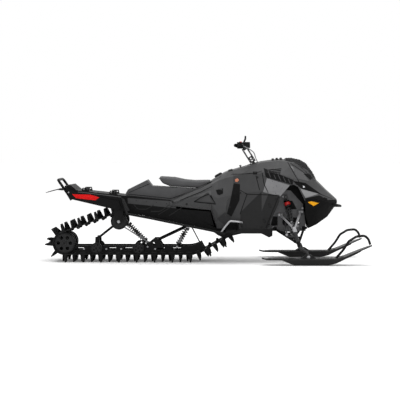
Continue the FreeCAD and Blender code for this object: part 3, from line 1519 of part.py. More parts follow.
def make_post():
    """The steering post with the tall riser on top, and the pitman arm at its foot."""
    foot = column_base - column_axis * post_length
    top = column_base + column_axis * riser_length
    parts = [rod(foot, column_base + column_axis * post_radius, post_radius)]
    width = post_radius * 2.4
    block = Part.makeBox(riser_depth, width, riser_length, vec(-riser_depth / 2, -width / 2, 0))
    window = Part.makeBox(riser_depth * 0.52, overrun, riser_length * 0.48,
                          vec(-riser_depth * 0.26, -overrun / 2, riser_length * 0.38))
    holes = [cross_rod(0, riser_length * share, post_radius * 0.55, -width, width) for share in (0.11, 0.26)]
    block = block.cut([window] + holes)
    block.rotate(vec(0, 0, 0), vec(0, 1, 0), -column_deg)
    block.translate(column_base)
    parts.append(block)
    pitman = Part.makeBox(post_radius * 5, post_radius * 2.4, post_radius, vec(-post_radius * 4.4, -post_radius * 1.2, 0))
    pitman.rotate(vec(0, 0, 0), vec(0, 1, 0), -column_deg)
    pitman.translate(foot)
    parts.append(pitman)
    return join(parts), top


def bar_points(top):
    sweep = bar_half_width * 0.20
    rise = bar_half_width * 0.02
    seat = top + column_axis * (bar_radius * 1.8 + fit_gap)
    half = [
        vec(seat.x - sweep, bar_half_width, seat.z + rise),
        vec(seat.x - sweep * 0.35, bar_half_width * 0.55, seat.z + rise),
        vec(seat.x, bar_half_width * 0.16, seat.z),
    ]
    return half + [vec(p.x, -p.y, p.z) for p in reversed(half)]


def make_handlebar(top):
    """The bar itself, and the clamp block that holds it on the riser."""
    bar = bent_tube(bar_points(top), bar_radius, bar_half_width * 0.15)
    half = post_radius * 1.3
    clamp = Part.makeBox(half * 2, half * 2, bar_radius * 3.4, vec(-half, -half, fit_gap))
    clamp.rotate(vec(0, 0, 0), vec(0, 1, 0), -column_deg)
    clamp.translate(top)
    whole = bar.fuse(clamp)
    end, inward = grip_axis(top)
    bore = rod(end - inward * bar_bore_radius, end + inward * bar_bore_length, bar_bore_radius)
    return whole.cut(both(bore))


def grip_axis(top):
    points = bar_points(top)
    return points[0], (points[1] - points[0]).normalize()


def make_grips(top):
    end, inward = grip_axis(top)
    sleeve = rod(end - inward * (bar_radius * 0.3), end + inward * grip_length, grip_radius)
    flange = rod(end + inward * (grip_length * 0.97), end + inward * grip_length, grip_radius * 1.4)
    sleeve = sleeve.fuse(flange).cut(rod(end - inward * grip_radius, end + inward * (grip_length * 1.2), bar_radius))
    return group(both(sleeve))


def make_controls(top):
    """Brake lever and switch block on the left, throttle block on the right."""
    end, inward = grip_axis(top)
    start = end + inward * (grip_length + fit_gap)
    housing = rod(start, start + inward * (grip_length * 0.42), grip_radius * 1.5)
    pod = box(start.x - grip_radius * 1.2, start.x + grip_radius * 1.8, start.y - grip_length * 0.42, start.y - grip_length * 0.1,
              start.z - grip_radius * 1.8, start.z + grip_radius * 2.0)
    bore = bent_tube(bar_points(top), bar_radius + fit_gap, bar_half_width * 0.15)
    lever_root = start + inward * (grip_length * 0.2) + vec(grip_radius * 1.6, 0, 0)
    lever = bent_tube([lever_root, lever_root + vec(grip_radius * 1.4, grip_length * 0.4, -grip_radius * 0.6),
                       lever_root + vec(grip_radius * 1.0, grip_length * 1.05, -grip_radius * 0.9)],
                      bar_radius * 0.42, grip_length * 0.2)
    left = housing.fuse([pod, lever]).cut(bore)
    right = mirrored(housing.fuse([pod]).cut(bore))
    thumb = bent_tube([vec(lever_root.x, -lever_root.y, lever_root.z),
                       vec(lever_root.x + grip_radius * 0.4, -lever_root.y - grip_length * 0.3, lever_root.z - grip_radius * 1.6)],
                      bar_radius * 0.5, grip_length)
    right = right.fuse(thumb)
    return group([left, right])


# In the column's own frame: ahead of its axis and along it, as shares of the riser's length.
pod_shares = [(0.112, 1.215), (0.238, 1.274), (0.470, 1.120), (0.300, 0.815), (0.190, 0.880), (0.190, 1.004),
              (0.112, 1.004)]


def from_column(ahead, y, along):
    """A place ahead of the column's axis, out from the middle and up along the column."""
    return column_base + column_ahead * ahead + vec(0, y, 0) + column_axis * along


def make_pod():
    """The instrument housing, in front of the bar's clamp."""
    ring = [from_column(sx * riser_length, -pod_half_width, sz * riser_length) for sx, sz in pod_shares]
    return Part.Face(Part.makePolygon(ring + [ring[0]])).extrude(vec(0, pod_half_width * 2, 0))


def make_cables(top):
    """Two control cables, from the hand controls along the bar and down the riser into the hood."""
    end, inward = grip_axis(top)
    start = end + inward * (grip_length * 1.42 + fit_gap * 2)
    points = [
        start + vec(bar_radius + cable_radius + 5, 0, -4),
        vec(384, 128, 1150),
        vec(410, 66, 1139),
        from_column(60, 26, 78),
        from_column(45, 12, 28),
        from_column(37, 8, -30),
    ]
    return group(both(bent_tube(points, cable_radius, 90)))


def make_strap(top):
    """The mountain strap: a grab hoop over the bar's middle."""
    height = riser_length * 0.68
    half = bar_half_width * 0.16
    seat = top + column_axis * (bar_radius * 2.8 + fit_gap * 2)
    points = [vec(seat.x, half, seat.z), vec(top.x + bar_radius, half * 0.9, top.z + height * 0.8),
              vec(top.x + bar_radius, half * 0.4, top.z + height)]
    points += [vec(p.x, -p.y, p.z) for p in reversed(points)]
    bar = bent_tube(bar_points(top), bar_radius + fit_gap, bar_half_width * 0.15)
    return max(bent_tube(points, bar_radius * 0.75, half * 0.4).cut(bar).Solids, key=lambda solid: solid.Volume)


# Places along the body, then the shield's half width and its lift over the hood, as shares of the largest.
shield_shares = [(0.600, 0.50, 0.12), (0.648, 0.66, 0.41), (0.717, 0.90, 0.94), (0.764, 1.00, 0.80),
                 (0.810, 0.96, 0.66), (0.838, 0.72, 0.24)]


def shield_ring(share, wide_share, lift_share):
    """One section of the shield: its outer line, then its foot line, well inside the hood, back again."""
    x = share * body_length
    wide = wide_share * shield_half_width
    lift = lift_share * shield_lip
    outer = []
    for y, rise in ((-wide, 0), (-wide * 0.5, lift * 0.9), (0, lift), (wide * 0.5, lift * 0.9), (wide, 0)):
        outer.append(vec(x, y, skin_top(x, abs(y)) + shield_rim + rise))
    foot = [point - vec(0, 0, shield_depth) for point in reversed(outer)]
    return outer + foot


def make_windshield():
    """A low dark shield that stands on the hood's nose."""
    rings = [shield_ring(*row) for row in shield_shares]
    faces = []
    for here, there in zip(rings, rings[1:]):
        count = len(here)
        for index in range(count):
            after = (index + 1) % count
            faces.append(triangle(here[index], here[after], there[after]))
            faces.append(triangle(here[index], there[after], there[index]))
    for ring in (rings[0], rings[-1]):
        faces.append(Part.Face(Part.makePolygon(ring + [ring[0]])))
    solid = Part.Solid(Part.makeShell(faces))
    if solid.Volume < 0:
        solid.reverse()
    return max(solid.cut(whole_skin(-fit_gap * 2)).Solids, key=lambda part: part.Volume)


def make_engine():
    """Engine and gearbox as one closed block."""
    beam_top = beam_low_z + beam_height + fit_gap
    back = engine_rear_x
    outline = [(back, beam_top), (back + engine_length * 0.92, beam_top), (back + engine_length, beam_top + engine_height * 0.3),
               (back + engine_length, beam_top + engine_height * 0.8), (back + engine_length * 0.7, beam_top + engine_height),
               (back, beam_top + engine_height)]
    return prism(outline, -engine_half_width, engine_half_width)


def make_front_bumper(grown):
    """A small bar round the nose, whose ends pass into the nose pan."""
    y = body_half_width * 0.42
    back = body_length * 0.925
    tip = body_length * 1.030
    z = body_height * 0.542
    half = [vec(back, y, z), vec(tip - bar_radius * 4, y * 0.9, z), vec(tip, y * 0.45, z - bar_radius * 0.4)]
    points = half + [vec(p.x, -p.y, p.z) for p in reversed(half)]
    return bent_tube(points, bar_radius + grown, bar_radius * 3)


# Every piece, by name

skin = Skin()
right = -overrun * 2
left = overrun * 2

nodes = {}
rails, nose_tip = make_rails()
nodes["track"] = make_track()
nodes["skid_rails"] = rails
nodes["slides"] = make_slides()
nodes["rear_idlers"] = make_rear_idlers()
nodes["carrier_wheels"] = make_carrier_wheels()
nodes["bogie_wheels"] = make_bogies()
nodes["drive_axle"] = make_drive_axle()
nodes["rear_arm"] = make_rear_arm()
nodes["front_arm"] = make_front_arm()
rear_shock, rear_spring = shock_set(rear_shock_low, rear_shock_high)
centre_shock, centre_spring = shock_set(centre_shock_low, front_arm_shaft)
nodes["skid_shocks"] = group([rear_shock, centre_shock])
front_shock, front_spring = make_front_damper()
nodes["front_shocks"] = group(both(front_shock))
nodes["coil_springs"] = group([rear_spring, centre_spring] + both(front_spring))
nodes["limiter_strap"] = make_limiter(nose_tip)

nodes["tunnel"] = make_tunnel()
board = make_board()
nodes["running_board_left"] = board
nodes["running_board_right"] = mirrored(board)
nodes["drop_brackets"] = make_drop_brackets()
nodes["rear_bumper"] = make_bumper()
nodes["tail_cover"] = make_tail_cover()
nodes["tail_lamps"] = make_tail_lamps()
nodes["snow_flap"] = make_flap()
nodes["cargo_anchors"] = make_anchors()
nodes["seat_base"] = make_seat_base()
nodes["seat_cushion"] = make_cushion()

nodes["console"] = skin.panel(console_shares, right, left)
nodes["hood"] = skin.panel(hood_shares, right, left)
side_panel = skin.panel(side_shares, 0, left)
accent = skin.parted.common(prism(at(accent_shares), 0, left))
side_panel = side_panel.cut(prism(at(accent_shares), 0, left))
nodes["side_panel_left"] = side_panel
nodes["side_panel_right"] = mirrored(side_panel)
nodes["side_accents"] = group(both(accent))
nodes["nose_pan"] = skin.panel(nose_shares, right, left).cut(make_front_bumper(fit_gap))
nodes["belly_pan"] = skin.panel(belly_shares, right, left)
nodes["headlamps"] = make_lenses()
nodes["side_markers"] = make_markers()
nodes["intake_screens"] = make_screens()
nodes["console_liners"] = make_liners()
nodes["foot_pads"] = make_foot_pads()
nodes["toe_holds"] = make_toe_holds()
nodes["windshield"] = make_windshield()
nodes["front_bumper"] = make_front_bumper(0)
nodes["front_frame"] = make_front_frame()
nodes["engine"] = make_engine()

high_eye = kingpin_point(kingpin_top_z)
low_eye = kingpin_point(kingpin_low_z)
nodes["upper_arms"] = group(both(make_arm(upper_pivot_shares, high_eye, upper_arm_radius, [])))
nodes["lower_arms"] = group(both(make_arm(lower_pivot_shares, low_eye, lower_arm_radius, [rod(*shock_bar(), axle_radius)])))
for name, sign in (("right", -1), ("left", 1)):
    nodes["spindle_" + name] = make_spindle(sign)
    nodes["tie_rod_" + name] = make_tie_rod(sign)
    nodes["ski_" + name] = make_ski(sign)
    nodes["ski_loop_" + name] = make_ski_loop(sign)

post, bar_top = make_post()
nodes["steering_post"] = post
nodes["handlebar"] = make_handlebar(bar_top)
nodes["grips"] = make_grips(bar_top)
nodes["hand_controls"] = make_controls(bar_top)
nodes["grab_strap"] = make_strap(bar_top)
nodes["instrument_pod"] = make_pod()
nodes["control_cables"] = make_cables(bar_top)

os.makedirs("parts", exist_ok=True)
for name, shape in nodes.items():
    shape.exportStep("parts/" + name + ".step")
    bounds = shape.BoundBox
    print(name, len(shape.Solids), "solids, valid", shape.isValid(),
          [round(value) for value in (bounds.XMin, bounds.XMax, bounds.YMin, bounds.YMax, bounds.ZMin, bounds.ZMax)])
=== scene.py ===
# %% [markdown]
# # A mountain snowmobile, dressed for its portrait
# The machine comes to us as a finished frame: every bar, plate and panel is already the right size and
# in the right place. What is left is how it looks. We load the frame first. Nothing that we add may
# make the machine bigger than it is.

# %% Load the frame
import json
import math
import bpy
import bmesh
import numpy as np
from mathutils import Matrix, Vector
from mathutils.bvhtree import BVHTree


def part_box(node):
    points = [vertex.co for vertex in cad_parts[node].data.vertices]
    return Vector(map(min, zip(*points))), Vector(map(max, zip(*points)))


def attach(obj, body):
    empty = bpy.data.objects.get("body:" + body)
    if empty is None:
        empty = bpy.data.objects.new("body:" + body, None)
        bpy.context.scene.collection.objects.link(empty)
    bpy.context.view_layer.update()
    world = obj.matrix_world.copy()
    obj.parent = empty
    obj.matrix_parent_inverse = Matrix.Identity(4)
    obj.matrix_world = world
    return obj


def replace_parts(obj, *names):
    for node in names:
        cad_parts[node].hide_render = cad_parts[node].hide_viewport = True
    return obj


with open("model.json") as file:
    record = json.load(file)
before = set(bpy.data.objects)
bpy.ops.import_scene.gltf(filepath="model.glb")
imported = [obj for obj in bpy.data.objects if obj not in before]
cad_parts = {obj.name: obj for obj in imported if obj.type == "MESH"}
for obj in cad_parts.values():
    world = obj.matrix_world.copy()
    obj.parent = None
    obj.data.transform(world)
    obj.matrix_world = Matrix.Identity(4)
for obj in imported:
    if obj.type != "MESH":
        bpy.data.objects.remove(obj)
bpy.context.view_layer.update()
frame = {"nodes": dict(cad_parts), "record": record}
nodes = frame["nodes"]
print("pieces in the frame:", len(nodes))

# %% [markdown]
# ## The camera
# A side portrait of a long machine is taken from far away with a long lens, so that its near and far
# skis look almost alike. The camera could be aimed with a constraint, but three plain numbers are
# easier to read: where it stands, how far it looks down, and how far it looks to the side.

# %% Place the camera
picture_size = 400
focal_pixels = 1265.0
foot_pixel = (221.0, 142.0)
sensor_width = 36.0
camera_place = Vector((0.140, -12.75, 1.20))
look_down = math.atan((picture_size / 2 - foot_pixel[1]) / focal_pixels)
look_aside = math.atan((foot_pixel[0] - picture_size / 2) / focal_pixels)

camera_data = bpy.data.cameras.new("camera")
camera_data.sensor_width = sensor_width
camera_data.lens = sensor_width * focal_pixels / picture_size
camera = bpy.data.objects.new("camera", camera_data)
camera.location = camera_place
camera.rotation_euler = (math.pi / 2 - look_down, 0, look_aside)
bpy.context.collection.objects.link(camera)
bpy.context.scene.camera = camera
bpy.context.scene.view_settings.view_transform = "Standard"
print("lens", round(camera_data.lens, 1), "mm; looks down", round(math.degrees(look_down), 2), "degrees")

# %% [markdown]
# ## Floor, backdrop and light
# The portrait stands on white paper. Paper could be lit until it burns out, but that would also bleach
# the black panels. Here the paper glows a little for the camera and for reflections, and the rest of
# its white is light that falls on it, so the shadow under the machine stays.

# %% Lay the paper
paper_half = 60.0
paper_glow = 0.13
paper_albedo = 0.88


def feed(tree, node, inputs):
    """Sets each named input of a node to a value, or joins another node's output to it."""
    for name, value in inputs.items():
        if isinstance(value, bpy.types.NodeSocket):
            tree.links.new(value, node.inputs[name])
        else:
            node.inputs[name].default_value = value


def add(tree, kind, **inputs):
    """A new shader node; inputs are named here with low lines in place of spaces."""
    node = tree.nodes.new("ShaderNode" + kind)
    feed(tree, node, {name.replace("_", " "): value for name, value in inputs.items()})
    return node


def worked(tree, operation, first, second):
    """The result of one piece of arithmetic with two values."""
    node = add(tree, "Math")
    node.operation = operation
    feed(tree, node, {0: first, 1: second})
    return node.outputs[0]


def emptied(owner):
    """The node tree of a material or of the world, without the nodes that it starts with."""
    owner.use_nodes = True
    owner.node_tree.nodes.clear()
    return owner.node_tree


def seen_directly(tree):
    """One for what the camera, a reflection or a clear lens sees, and zero for light that spreads."""
    path = add(tree, "LightPath").outputs
    seen = worked(tree, "MAXIMUM", path["Is Camera Ray"], path["Is Glossy Ray"])
    return worked(tree, "MAXIMUM", seen, path["Is Transmission Ray"])


def paper_material():
    """White paper: it spreads light, and it glows a little where it is seen directly."""
    material = bpy.data.materials.new("white_paper")
    tree = emptied(material)
    diffuse = add(tree, "BsdfDiffuse", Color=(paper_albedo, paper_albedo, paper_albedo, 1))
    glow = add(tree, "Emission", Strength=worked(tree, "MULTIPLY", seen_directly(tree), paper_glow))
    both = add(tree, "AddShader")
    feed(tree, both, {0: diffuse.outputs[0], 1: glow.outputs[0]})
    add(tree, "OutputMaterial", Surface=both.outputs[0])
    return material


def flat_sheet(name, half, material):
    """A square of paper on the ground: four corners at plus and minus half."""
    signs = np.array([(-1, -1, 0), (1, -1, 0), (1, 1, 0), (-1, 1, 0)], dtype=float)
    mesh = bpy.data.meshes.new(name)
    mesh.from_pydata((signs * half).tolist(), [], [(0, 1, 2, 3)])
    mesh.materials.append(material)
    sheet = bpy.data.objects.new(name, mesh)
    bpy.context.collection.objects.link(sheet)
    return sheet


paper = flat_sheet("paper_floor", paper_half, paper_material())
print("paper is", 2 * paper_half, "m across")

# %% [markdown]
# The sky could be one even grey. A studio ceiling is brighter than its walls, though, and that is what
# makes the facets of the panels read: those that look up are paler than those that look down. So the
# light grows with the height of the direction that it comes from.

# %% Hang the sky and the lamps
ceiling_light = 1.35
wall_light = 0.30
key_power = 110.0
fill_power = 30.0
rim_power = 60.0

world = bpy.data.worlds.new("studio")
bpy.context.scene.world = world
sky = emptied(world)
sky_split = add(sky, "SeparateXYZ", Vector=add(sky, "TexCoord").outputs["Generated"])
sky_height = add(sky, "MapRange", Value=sky_split.outputs["Z"], To_Min=wall_light, To_Max=ceiling_light)
sky_strength = add(sky, "MapRange", Value=seen_directly(sky), To_Min=sky_height.outputs["Result"], To_Max=1.0)
sky_background = add(sky, "Background", Color=(1, 1, 1, 1), Strength=sky_strength.outputs["Result"])
add(sky, "OutputWorld", Surface=sky_background.outputs[0])


def softbox(name, place, aim, size, power):
    """A square area lamp at a place, turned so that it shines at another place."""
    data = bpy.data.lights.new(name, "AREA")
    data.shape = "RECTANGLE"
    data.size, data.size_y = size
    data.energy = power
    lamp = bpy.data.objects.new(name, data)
    lamp.location = place
    lamp.rotation_euler = (Vector(aim) - Vector(place)).to_track_quat("-Z", "Y").to_euler()
    bpy.context.collection.objects.link(lamp)
    return lamp


softbox("overhead", (0.3, -1.2, 5.2), (0.1, 0.0, 0.5), (4.5, 3.0), key_power)
softbox("front_side", (3.6, -4.6, 2.6), (0.4, 0.0, 0.6), (2.6, 2.2), fill_power)
softbox("rear_side", (-4.2, 3.4, 3.4), (-0.2, 0.0, 0.6), (2.6, 2.2), rim_power)
print("lamps:", len(bpy.data.lights))

# %% [markdown]
# ## One recipe for many finishes
# Powder coat, moulded plastic and rubber are all one dark colour from far away. Close up they differ
# in three ways: how much the tone drifts over a hand's width, how rough they are, and how fine and
# deep their grain is. We could paint pictures for each, but noise that is read at the surface's own
# place in metres has no seams and never runs out.

# %% Nodes that every finish uses
noise_detail = 4.0
tone_lumps = 7.0
gloss_lumps = 38.0
scuff_lumps = 55.0
scuff_detail = 6.0
scuff_gain = 2.2
scuff_floor = 0.02
scuff_start = 0.60
scuff_end = 0.78
grain_detail = 2.0
grain_strength = 0.6
rib_strength = 0.7
wave_unit = 20.0


def new_material(name):
    """An empty material with a shader that is joined to its output."""
    material = bpy.data.materials.new(name)
    tree = emptied(material)
    shader = add(tree, "BsdfPrincipled")
    add(tree, "OutputMaterial", Surface=shader.outputs[0])
    return material, tree, shader


def place_of(tree, stretch=(1, 1, 1)):
    """The surface's own place in metres, stretched along each axis."""
    place = add(tree, "TexCoord").outputs["Object"]
    if stretch == (1, 1, 1):
        return place
    return add(tree, "Mapping", Vector=place, Scale=stretch).outputs["Vector"]


def noise(tree, place, per_metre, detail=noise_detail):
    """Soft random values from 0 to 1, about so many lumps to the metre."""
    return add(tree, "TexNoise", Vector=place, Scale=per_metre, Detail=detail).outputs["Fac"]


def pebbles(tree, place, per_metre):
    """Distance to the nearest of many scattered points, which looks like pores or pebbled leather."""
    return add(tree, "TexVoronoi", Vector=place, Scale=per_metre).outputs["Distance"]


def bands(tree, place, per_metre, direction):
    """Even bands along one axis, so many to the metre: the sine of the place."""
    node = add(tree, "TexWave", Vector=place, Scale=per_metre * 2 * math.pi / wave_unit)
    node.bands_direction = direction
    return node.outputs["Fac"]


def spread(tree, value, low, high, start=0.3, end=0.7):
    """Carries a value that runs from start to end over to low to high."""
    return add(tree, "MapRange", Value=value, From_Min=start, From_Max=end, To_Min=low,
               To_Max=high).outputs["Result"]


def toned(tone, share):
    """A tone with each channel multiplied by a share, and none above one."""
    return tuple(min(channel * share, 1.0) for channel in tone)


def uneven(tree, place, rough, per_metre, share):
    """A roughness that wanders up and down by a share, in patches."""
    patch = noise(tree, place, per_metre)
    return spread(tree, patch, rough * (1 - share), min(rough * (1 + share), 1.0))


def blend(tree, value, first, second):
    """A colour between two, by a value from 0 to 1."""
    node = add(tree, "Mix")
    node.data_type = "RGBA"
    first, second = ((*tone, 1) if isinstance(tone, tuple) else tone for tone in (first, second))
    feed(tree, node, {0: value, 6: first, 7: second})
    return node.outputs[2]


def bump(tree, height, distance, strength):
    """Turns a height from 0 to 1 into a dent of some metres."""
    return add(tree, "Bump", Height=height, Distance=distance, Strength=strength).outputs["Normal"]


print("noise detail", noise_detail)

# %% Build a finish
def finish(name, tone, rough, shine=0.3, metal=0.0, coat=0.0, sheen=0.0, drift=0.12, grain=900.0,
           depth=0.00015, scuffs=0.0, stretch=(1, 1, 1), pebbled=False):
    """A finish: a drifting tone, uneven gloss, a fine grain, and pale scuffs where it is rubbed."""
    material, tree, shader = new_material(name)
    place = place_of(tree)
    patch = spread(tree, noise(tree, place, tone_lumps), 0, 1)
    colour = blend(tree, patch, toned(tone, 1 - drift), toned(tone, 1 + drift))
    if scuffs:
        rubbed = noise(tree, place_of(tree, (1, 1, 3)), scuff_lumps, scuff_detail)
        pale = tuple(min(channel * scuff_gain + scuff_floor, 1.0) for channel in tone)
        colour = blend(tree, spread(tree, rubbed, 0, scuffs, scuff_start, scuff_end), colour, pale)
    fine_place = place_of(tree, stretch)
    fine = pebbles(tree, fine_place, grain) if pebbled else noise(tree, fine_place, grain, grain_detail)
    feed(tree, shader, {
        "Base Color": colour, "Roughness": uneven(tree, place, rough, gloss_lumps, 0.12),
        "Normal": bump(tree, fine, depth, grain_strength), "Metallic": metal, "Coat Weight": coat,
        "Sheen Weight": sheen, "Specular IOR Level": shine})
    return material


def ribbed(name, tone, rough, per_metre, direction, depth, shine=0.3, coat=0.0):
    """A finish with even ribs across one axis, as in a lamp's lens or webbing; grooves get painted shade."""
    material, tree, shader = new_material(name)
    place = place_of(tree)
    ribs = bands(tree, place, per_metre, direction)
    feed(tree, shader, {
        # The colour follows the ribs: painted shade in the grooves and a painted highlight on the crests.
        "Base Color": blend(tree, ribs, toned(tone, 0.75), toned(tone, 1.2)),
        "Roughness": uneven(tree, place, rough, 60.0, 0.15),
        "Normal": bump(tree, ribs, depth, rib_strength),
        "Coat Weight": coat, "Specular IOR Level": shine})
    return material


paint_share = 0.84


def grey(level):
    """A tone with all three channels near one level, a touch cooler in the blue."""
    level = level * paint_share
    return (level, level, level * 1.03)


finishes = {
    "track_rubber": finish("track_rubber", grey(0.010), 0.76, 0.12, grain=420, depth=0.0006, scuffs=0.25),
    "black_metal": finish("black_powder_coat", grey(0.007), 0.45, 0.10, grain=1500),
    "slide_plastic": finish("slide_plastic", grey(0.02), 0.5, 0.2),
    "wheel_plastic": finish("wheel_plastic", grey(0.024), 0.5, 0.15, scuffs=0.2),
    "bare_aluminium": finish("bare_aluminium", grey(0.42), 0.36, metal=1.0, grain=260, stretch=(1, 6, 1)),
    "shock_body": finish("damper_body", grey(0.014), 0.32, 0.3, coat=0.1),
    "spring_steel": finish("spring_steel", grey(0.014), 0.35, 0.3, coat=0.15),
    "strap_webbing": ribbed("strap_webbing", grey(0.014), 0.8, 420.0, "Z", 0.0005, 0.1),
    "dark_plastic": finish("dark_plastic", grey(0.008), 0.48, 0.15, grain=1100),
    "grey_plastic": finish("grey_plastic", grey(0.045), 0.48, 0.30, grain=1100),
    "silver_plastic": finish("silver_plastic", grey(0.18), 0.30, 0.5, metal=0.5, coat=0.3, depth=0.00003),
    "shield_plastic": finish("shield_plastic", grey(0.020), 0.45, 0.2),
    "red_lens": ribbed("red_lens", (0.66, 0.004, 0.004), 0.30, 190.0, "X", 0.0006, 0.12),
    "flap_rubber": finish("flap_rubber", grey(0.012), 0.7, 0.1),
    "seat_cover": finish(
        "seat_cover", grey(0.074), 0.62, 0.25, sheen=0.15, grain=520, depth=0.0004, pebbled=True),
    "cast_engine": finish("cast_engine", grey(0.05), 0.6, metal=0.4),
    "silver_metal": finish("silver_metal", grey(0.36), 0.38, metal=0.9, grain=1200, scuffs=0.2),
    "cast_metal": finish("cast_metal", grey(0.04), 0.5, metal=0.5, grain=500, depth=0.0004),
    "ski_plastic": finish("ski_plastic", grey(0.010), 0.42, 0.25, scuffs=0.3),
    "grip_rubber": finish("grip_rubber", grey(0.008), 0.75, 0.1),
    "lamp_lens": ribbed("lamp_lens", grey(0.22), 0.16, 160.0, "X", 0.0007, 0.5, coat=0.7),
    "amber_lens": ribbed("amber_lens", (0.95, 0.38, 0.006), 0.30, 190.0, "X", 0.0006, 0.12),
    "cable_rubber": finish("cable_rubber", grey(0.012), 0.5, 0.2),
    "pad_rubber": finish("pad_rubber", grey(0.042), 0.72, 0.15, scuffs=0.2),
}
side_grey = finish("side_panel_grey", grey(0.034), 0.50, 0.25, grain=1100)
pale_grey = finish("seat_base_grey", grey(0.088), 0.52, 0.25, grain=1100)
sheet_black = finish("black_sheet", grey(0.006), 0.50, 0.08, grain=1500)
deep_black = finish("deep_black", grey(0.004), 0.55, 0.08, grain=1100)
bright_silver = finish("bright_silver", grey(0.46), 0.40, 0.4, metal=0.35, grain=1200, scuffs=0.15)
cast_grey = finish("cast_grey", grey(0.10), 0.5, metal=0.7, grain=420, depth=0.0005)
dark_grey = finish("dark_grey_panel", grey(0.010), 0.50, 0.20, grain=1100)
matt_grey = finish("matt_grey_panel", grey(0.045), 0.52, 0.25, grain=1100)
pale_cable = finish("pale_cable", grey(0.26), 0.4)
red_paint = finish("red_paint", (0.50, 0.015, 0.015), 0.35, coat=0.3)
dull_orange = finish("dull_orange", (0.45, 0.16, 0.09), 0.5)
clear_lens = finish("clear_lens", (0.85, 0.87, 0.9), 0.08, 0.5, coat=1.0)
smoked = finish("smoked_pane", grey(0.060), 0.22, 0.5, coat=0.2)
dark_glass = finish("dark_glass", grey(0.006), 0.08, 0.5, coat=1.0)
print("finishes:", len(bpy.data.materials) - 1)

# %% [markdown]
# Most pieces take the finish that their record names. A few kinds of plastic share one name in the
# record and still differ on the machine, so those pieces are listed here.

# %% Give every piece of the frame its finish
own_finish = {
    "seat_base": pale_grey,
    "console_liners": matt_grey,
    "tail_cover": sheet_black,
    "tunnel": sheet_black,
    "nose_pan": deep_black,
    "side_panel_left": side_grey,
    "side_panel_right": side_grey,
    "upper_arms": bright_silver,
    "toe_holds": bright_silver,
    "steering_post": finishes["cast_metal"],
    "front_frame": cast_grey,
    "control_cables": pale_cable,
}
slot_of = {part["node"]: part["material_slot"] for part in frame["record"]["subparts"]}
for name, node in nodes.items():
    node.data.materials.clear()
    node.data.materials.append(own_finish.get(name, finishes[slot_of[name]]))
print("pieces with a finish of their own:", len(own_finish))

# %% [markdown]
# ## Shapes as arrays
# Bolts, beads and coils could be added with Blender's own primitives, one call each. There are
# hundreds here, so we work out all their points at once instead. Every shape below is a stack of
# rings, and one function joins the rings into cells.

# %% Rings, tubes and turned shapes
def unit(vectors):
    """Each vector divided by its own length."""
    vectors = np.asarray(vectors, dtype=float)
    return vectors / np.linalg.norm(vectors, axis=-1, keepdims=True)


def shell(rings, closed=False):
    """A skin over a stack of rings: cell (i, j) joins point j of ring i, its neighbour, and the two above."""
    rings = np.asarray(rings, dtype=float)
    rows, cols = rings.shape[:2]
    row, col = np.meshgrid(np.arange(rows if closed else rows - 1), np.arange(cols), indexing="ij")
    beside = (col + 1) % cols
    above = (row + 1) % rows
    corners = [row * cols + col, row * cols + beside, above * cols + beside, above * cols + col]
    faces = [np.stack(corners, axis=-1).reshape(-1, 4)]
    if not closed:
        faces.append(np.arange(cols)[::-1][None])
        faces.append((np.arange(cols) + (rows - 1) * cols)[None])
    return rings.reshape(-1, 3), faces


def carried(profile, path, across, up, scale=1.0):
    """A closed profile carried along a path: place + scale * (first * across + second * up)."""
    path = np.asarray(path, dtype=float)
    profile = np.asarray(profile, dtype=float)
    across = np.broadcast_to(across, path.shape)[:, None]
    up = np.broadcast_to(up, path.shape)[:, None]
    scale = np.broadcast_to(scale, len(path))[:, None, None]
    section = profile[None, :, :1] * across + profile[None, :, 1:] * up
    return shell(path[:, None] + scale * section)


def circle(radius, sides):
    """Radius times the cosine and the sine of equal steps round a turn."""
    turn = np.arange(sides) * (2 * math.pi / sides)
    return np.stack([radius * np.cos(turn), radius * np.sin(turn)], axis=-1)


def tube(path, radius, sides=12, guide=(0, 0, 1), scale=1.0):
    """A round section carried along a path; one of its sides always lies square to the guide."""
    path = np.asarray(path, dtype=float)
    ahead = unit(np.gradient(path, axis=0))
    across = unit(np.cross(guide, ahead))
    return carried(circle(radius, sides), path, across, np.cross(ahead, across), scale)


def turned(profile, foot=(0, 0, 0), axis=(0, 0, 1), sides=24, closed=False):
    """A profile of (radius, height) pairs spun round an axis: foot + height * axis + radius * spoke."""
    profile = np.asarray(profile, dtype=float)
    axis = unit(axis)
    guide = (0, 1, 0) if abs(axis[0]) > 0.7 else (1, 0, 0)
    across = unit(np.cross(guide, axis))
    spokes = circle(1.0, sides) @ np.stack([across, np.cross(axis, across)])
    rings = np.asarray(foot) + profile[:, 1, None, None] * axis + profile[:, 0, None, None] * spokes
    return shell(rings, closed)


def joined(*shapes):
    """Several shapes as one: each one's corner numbers are moved past the points before it."""
    points = np.concatenate([shape[0] for shape in shapes])
    starts = np.cumsum([0] + [len(shape[0]) for shape in shapes[:-1]])
    faces = [group + start for shape, start in zip(shapes, starts) for group in shape[1]]
    return points, faces


def mirrored(shape):
    """A shape and its twin on the machine's other side: the same points with y turned over."""
    points, faces = shape
    return joined(shape, (points * np.array([1, -1, 1]), [group[:, ::-1] for group in faces]))


print("a bolt-sized ring of 24 sides has", len(turned([(0.01, 0), (0.01, 0.005)])[0]), "points")

# %% Copy a small shape to many places
def stamped(shape, places, across, ahead, up):
    """A small shape copied to many places: place + x * across + y * ahead + z * up, all at once."""
    base, faces = shape
    places = np.atleast_2d(np.asarray(places, dtype=float))
    count = len(places)
    sides = [np.broadcast_to(side, (count, 3))[:, None] for side in (across, ahead, up)]
    points = places[:, None] + sum(base[None, :, axis, None] * side for axis, side in enumerate(sides))
    starts = (np.arange(count) * len(base))[:, None, None]
    return points.reshape(-1, 3), [(group[None] + starts).reshape(-1, group.shape[1]) for group in faces]


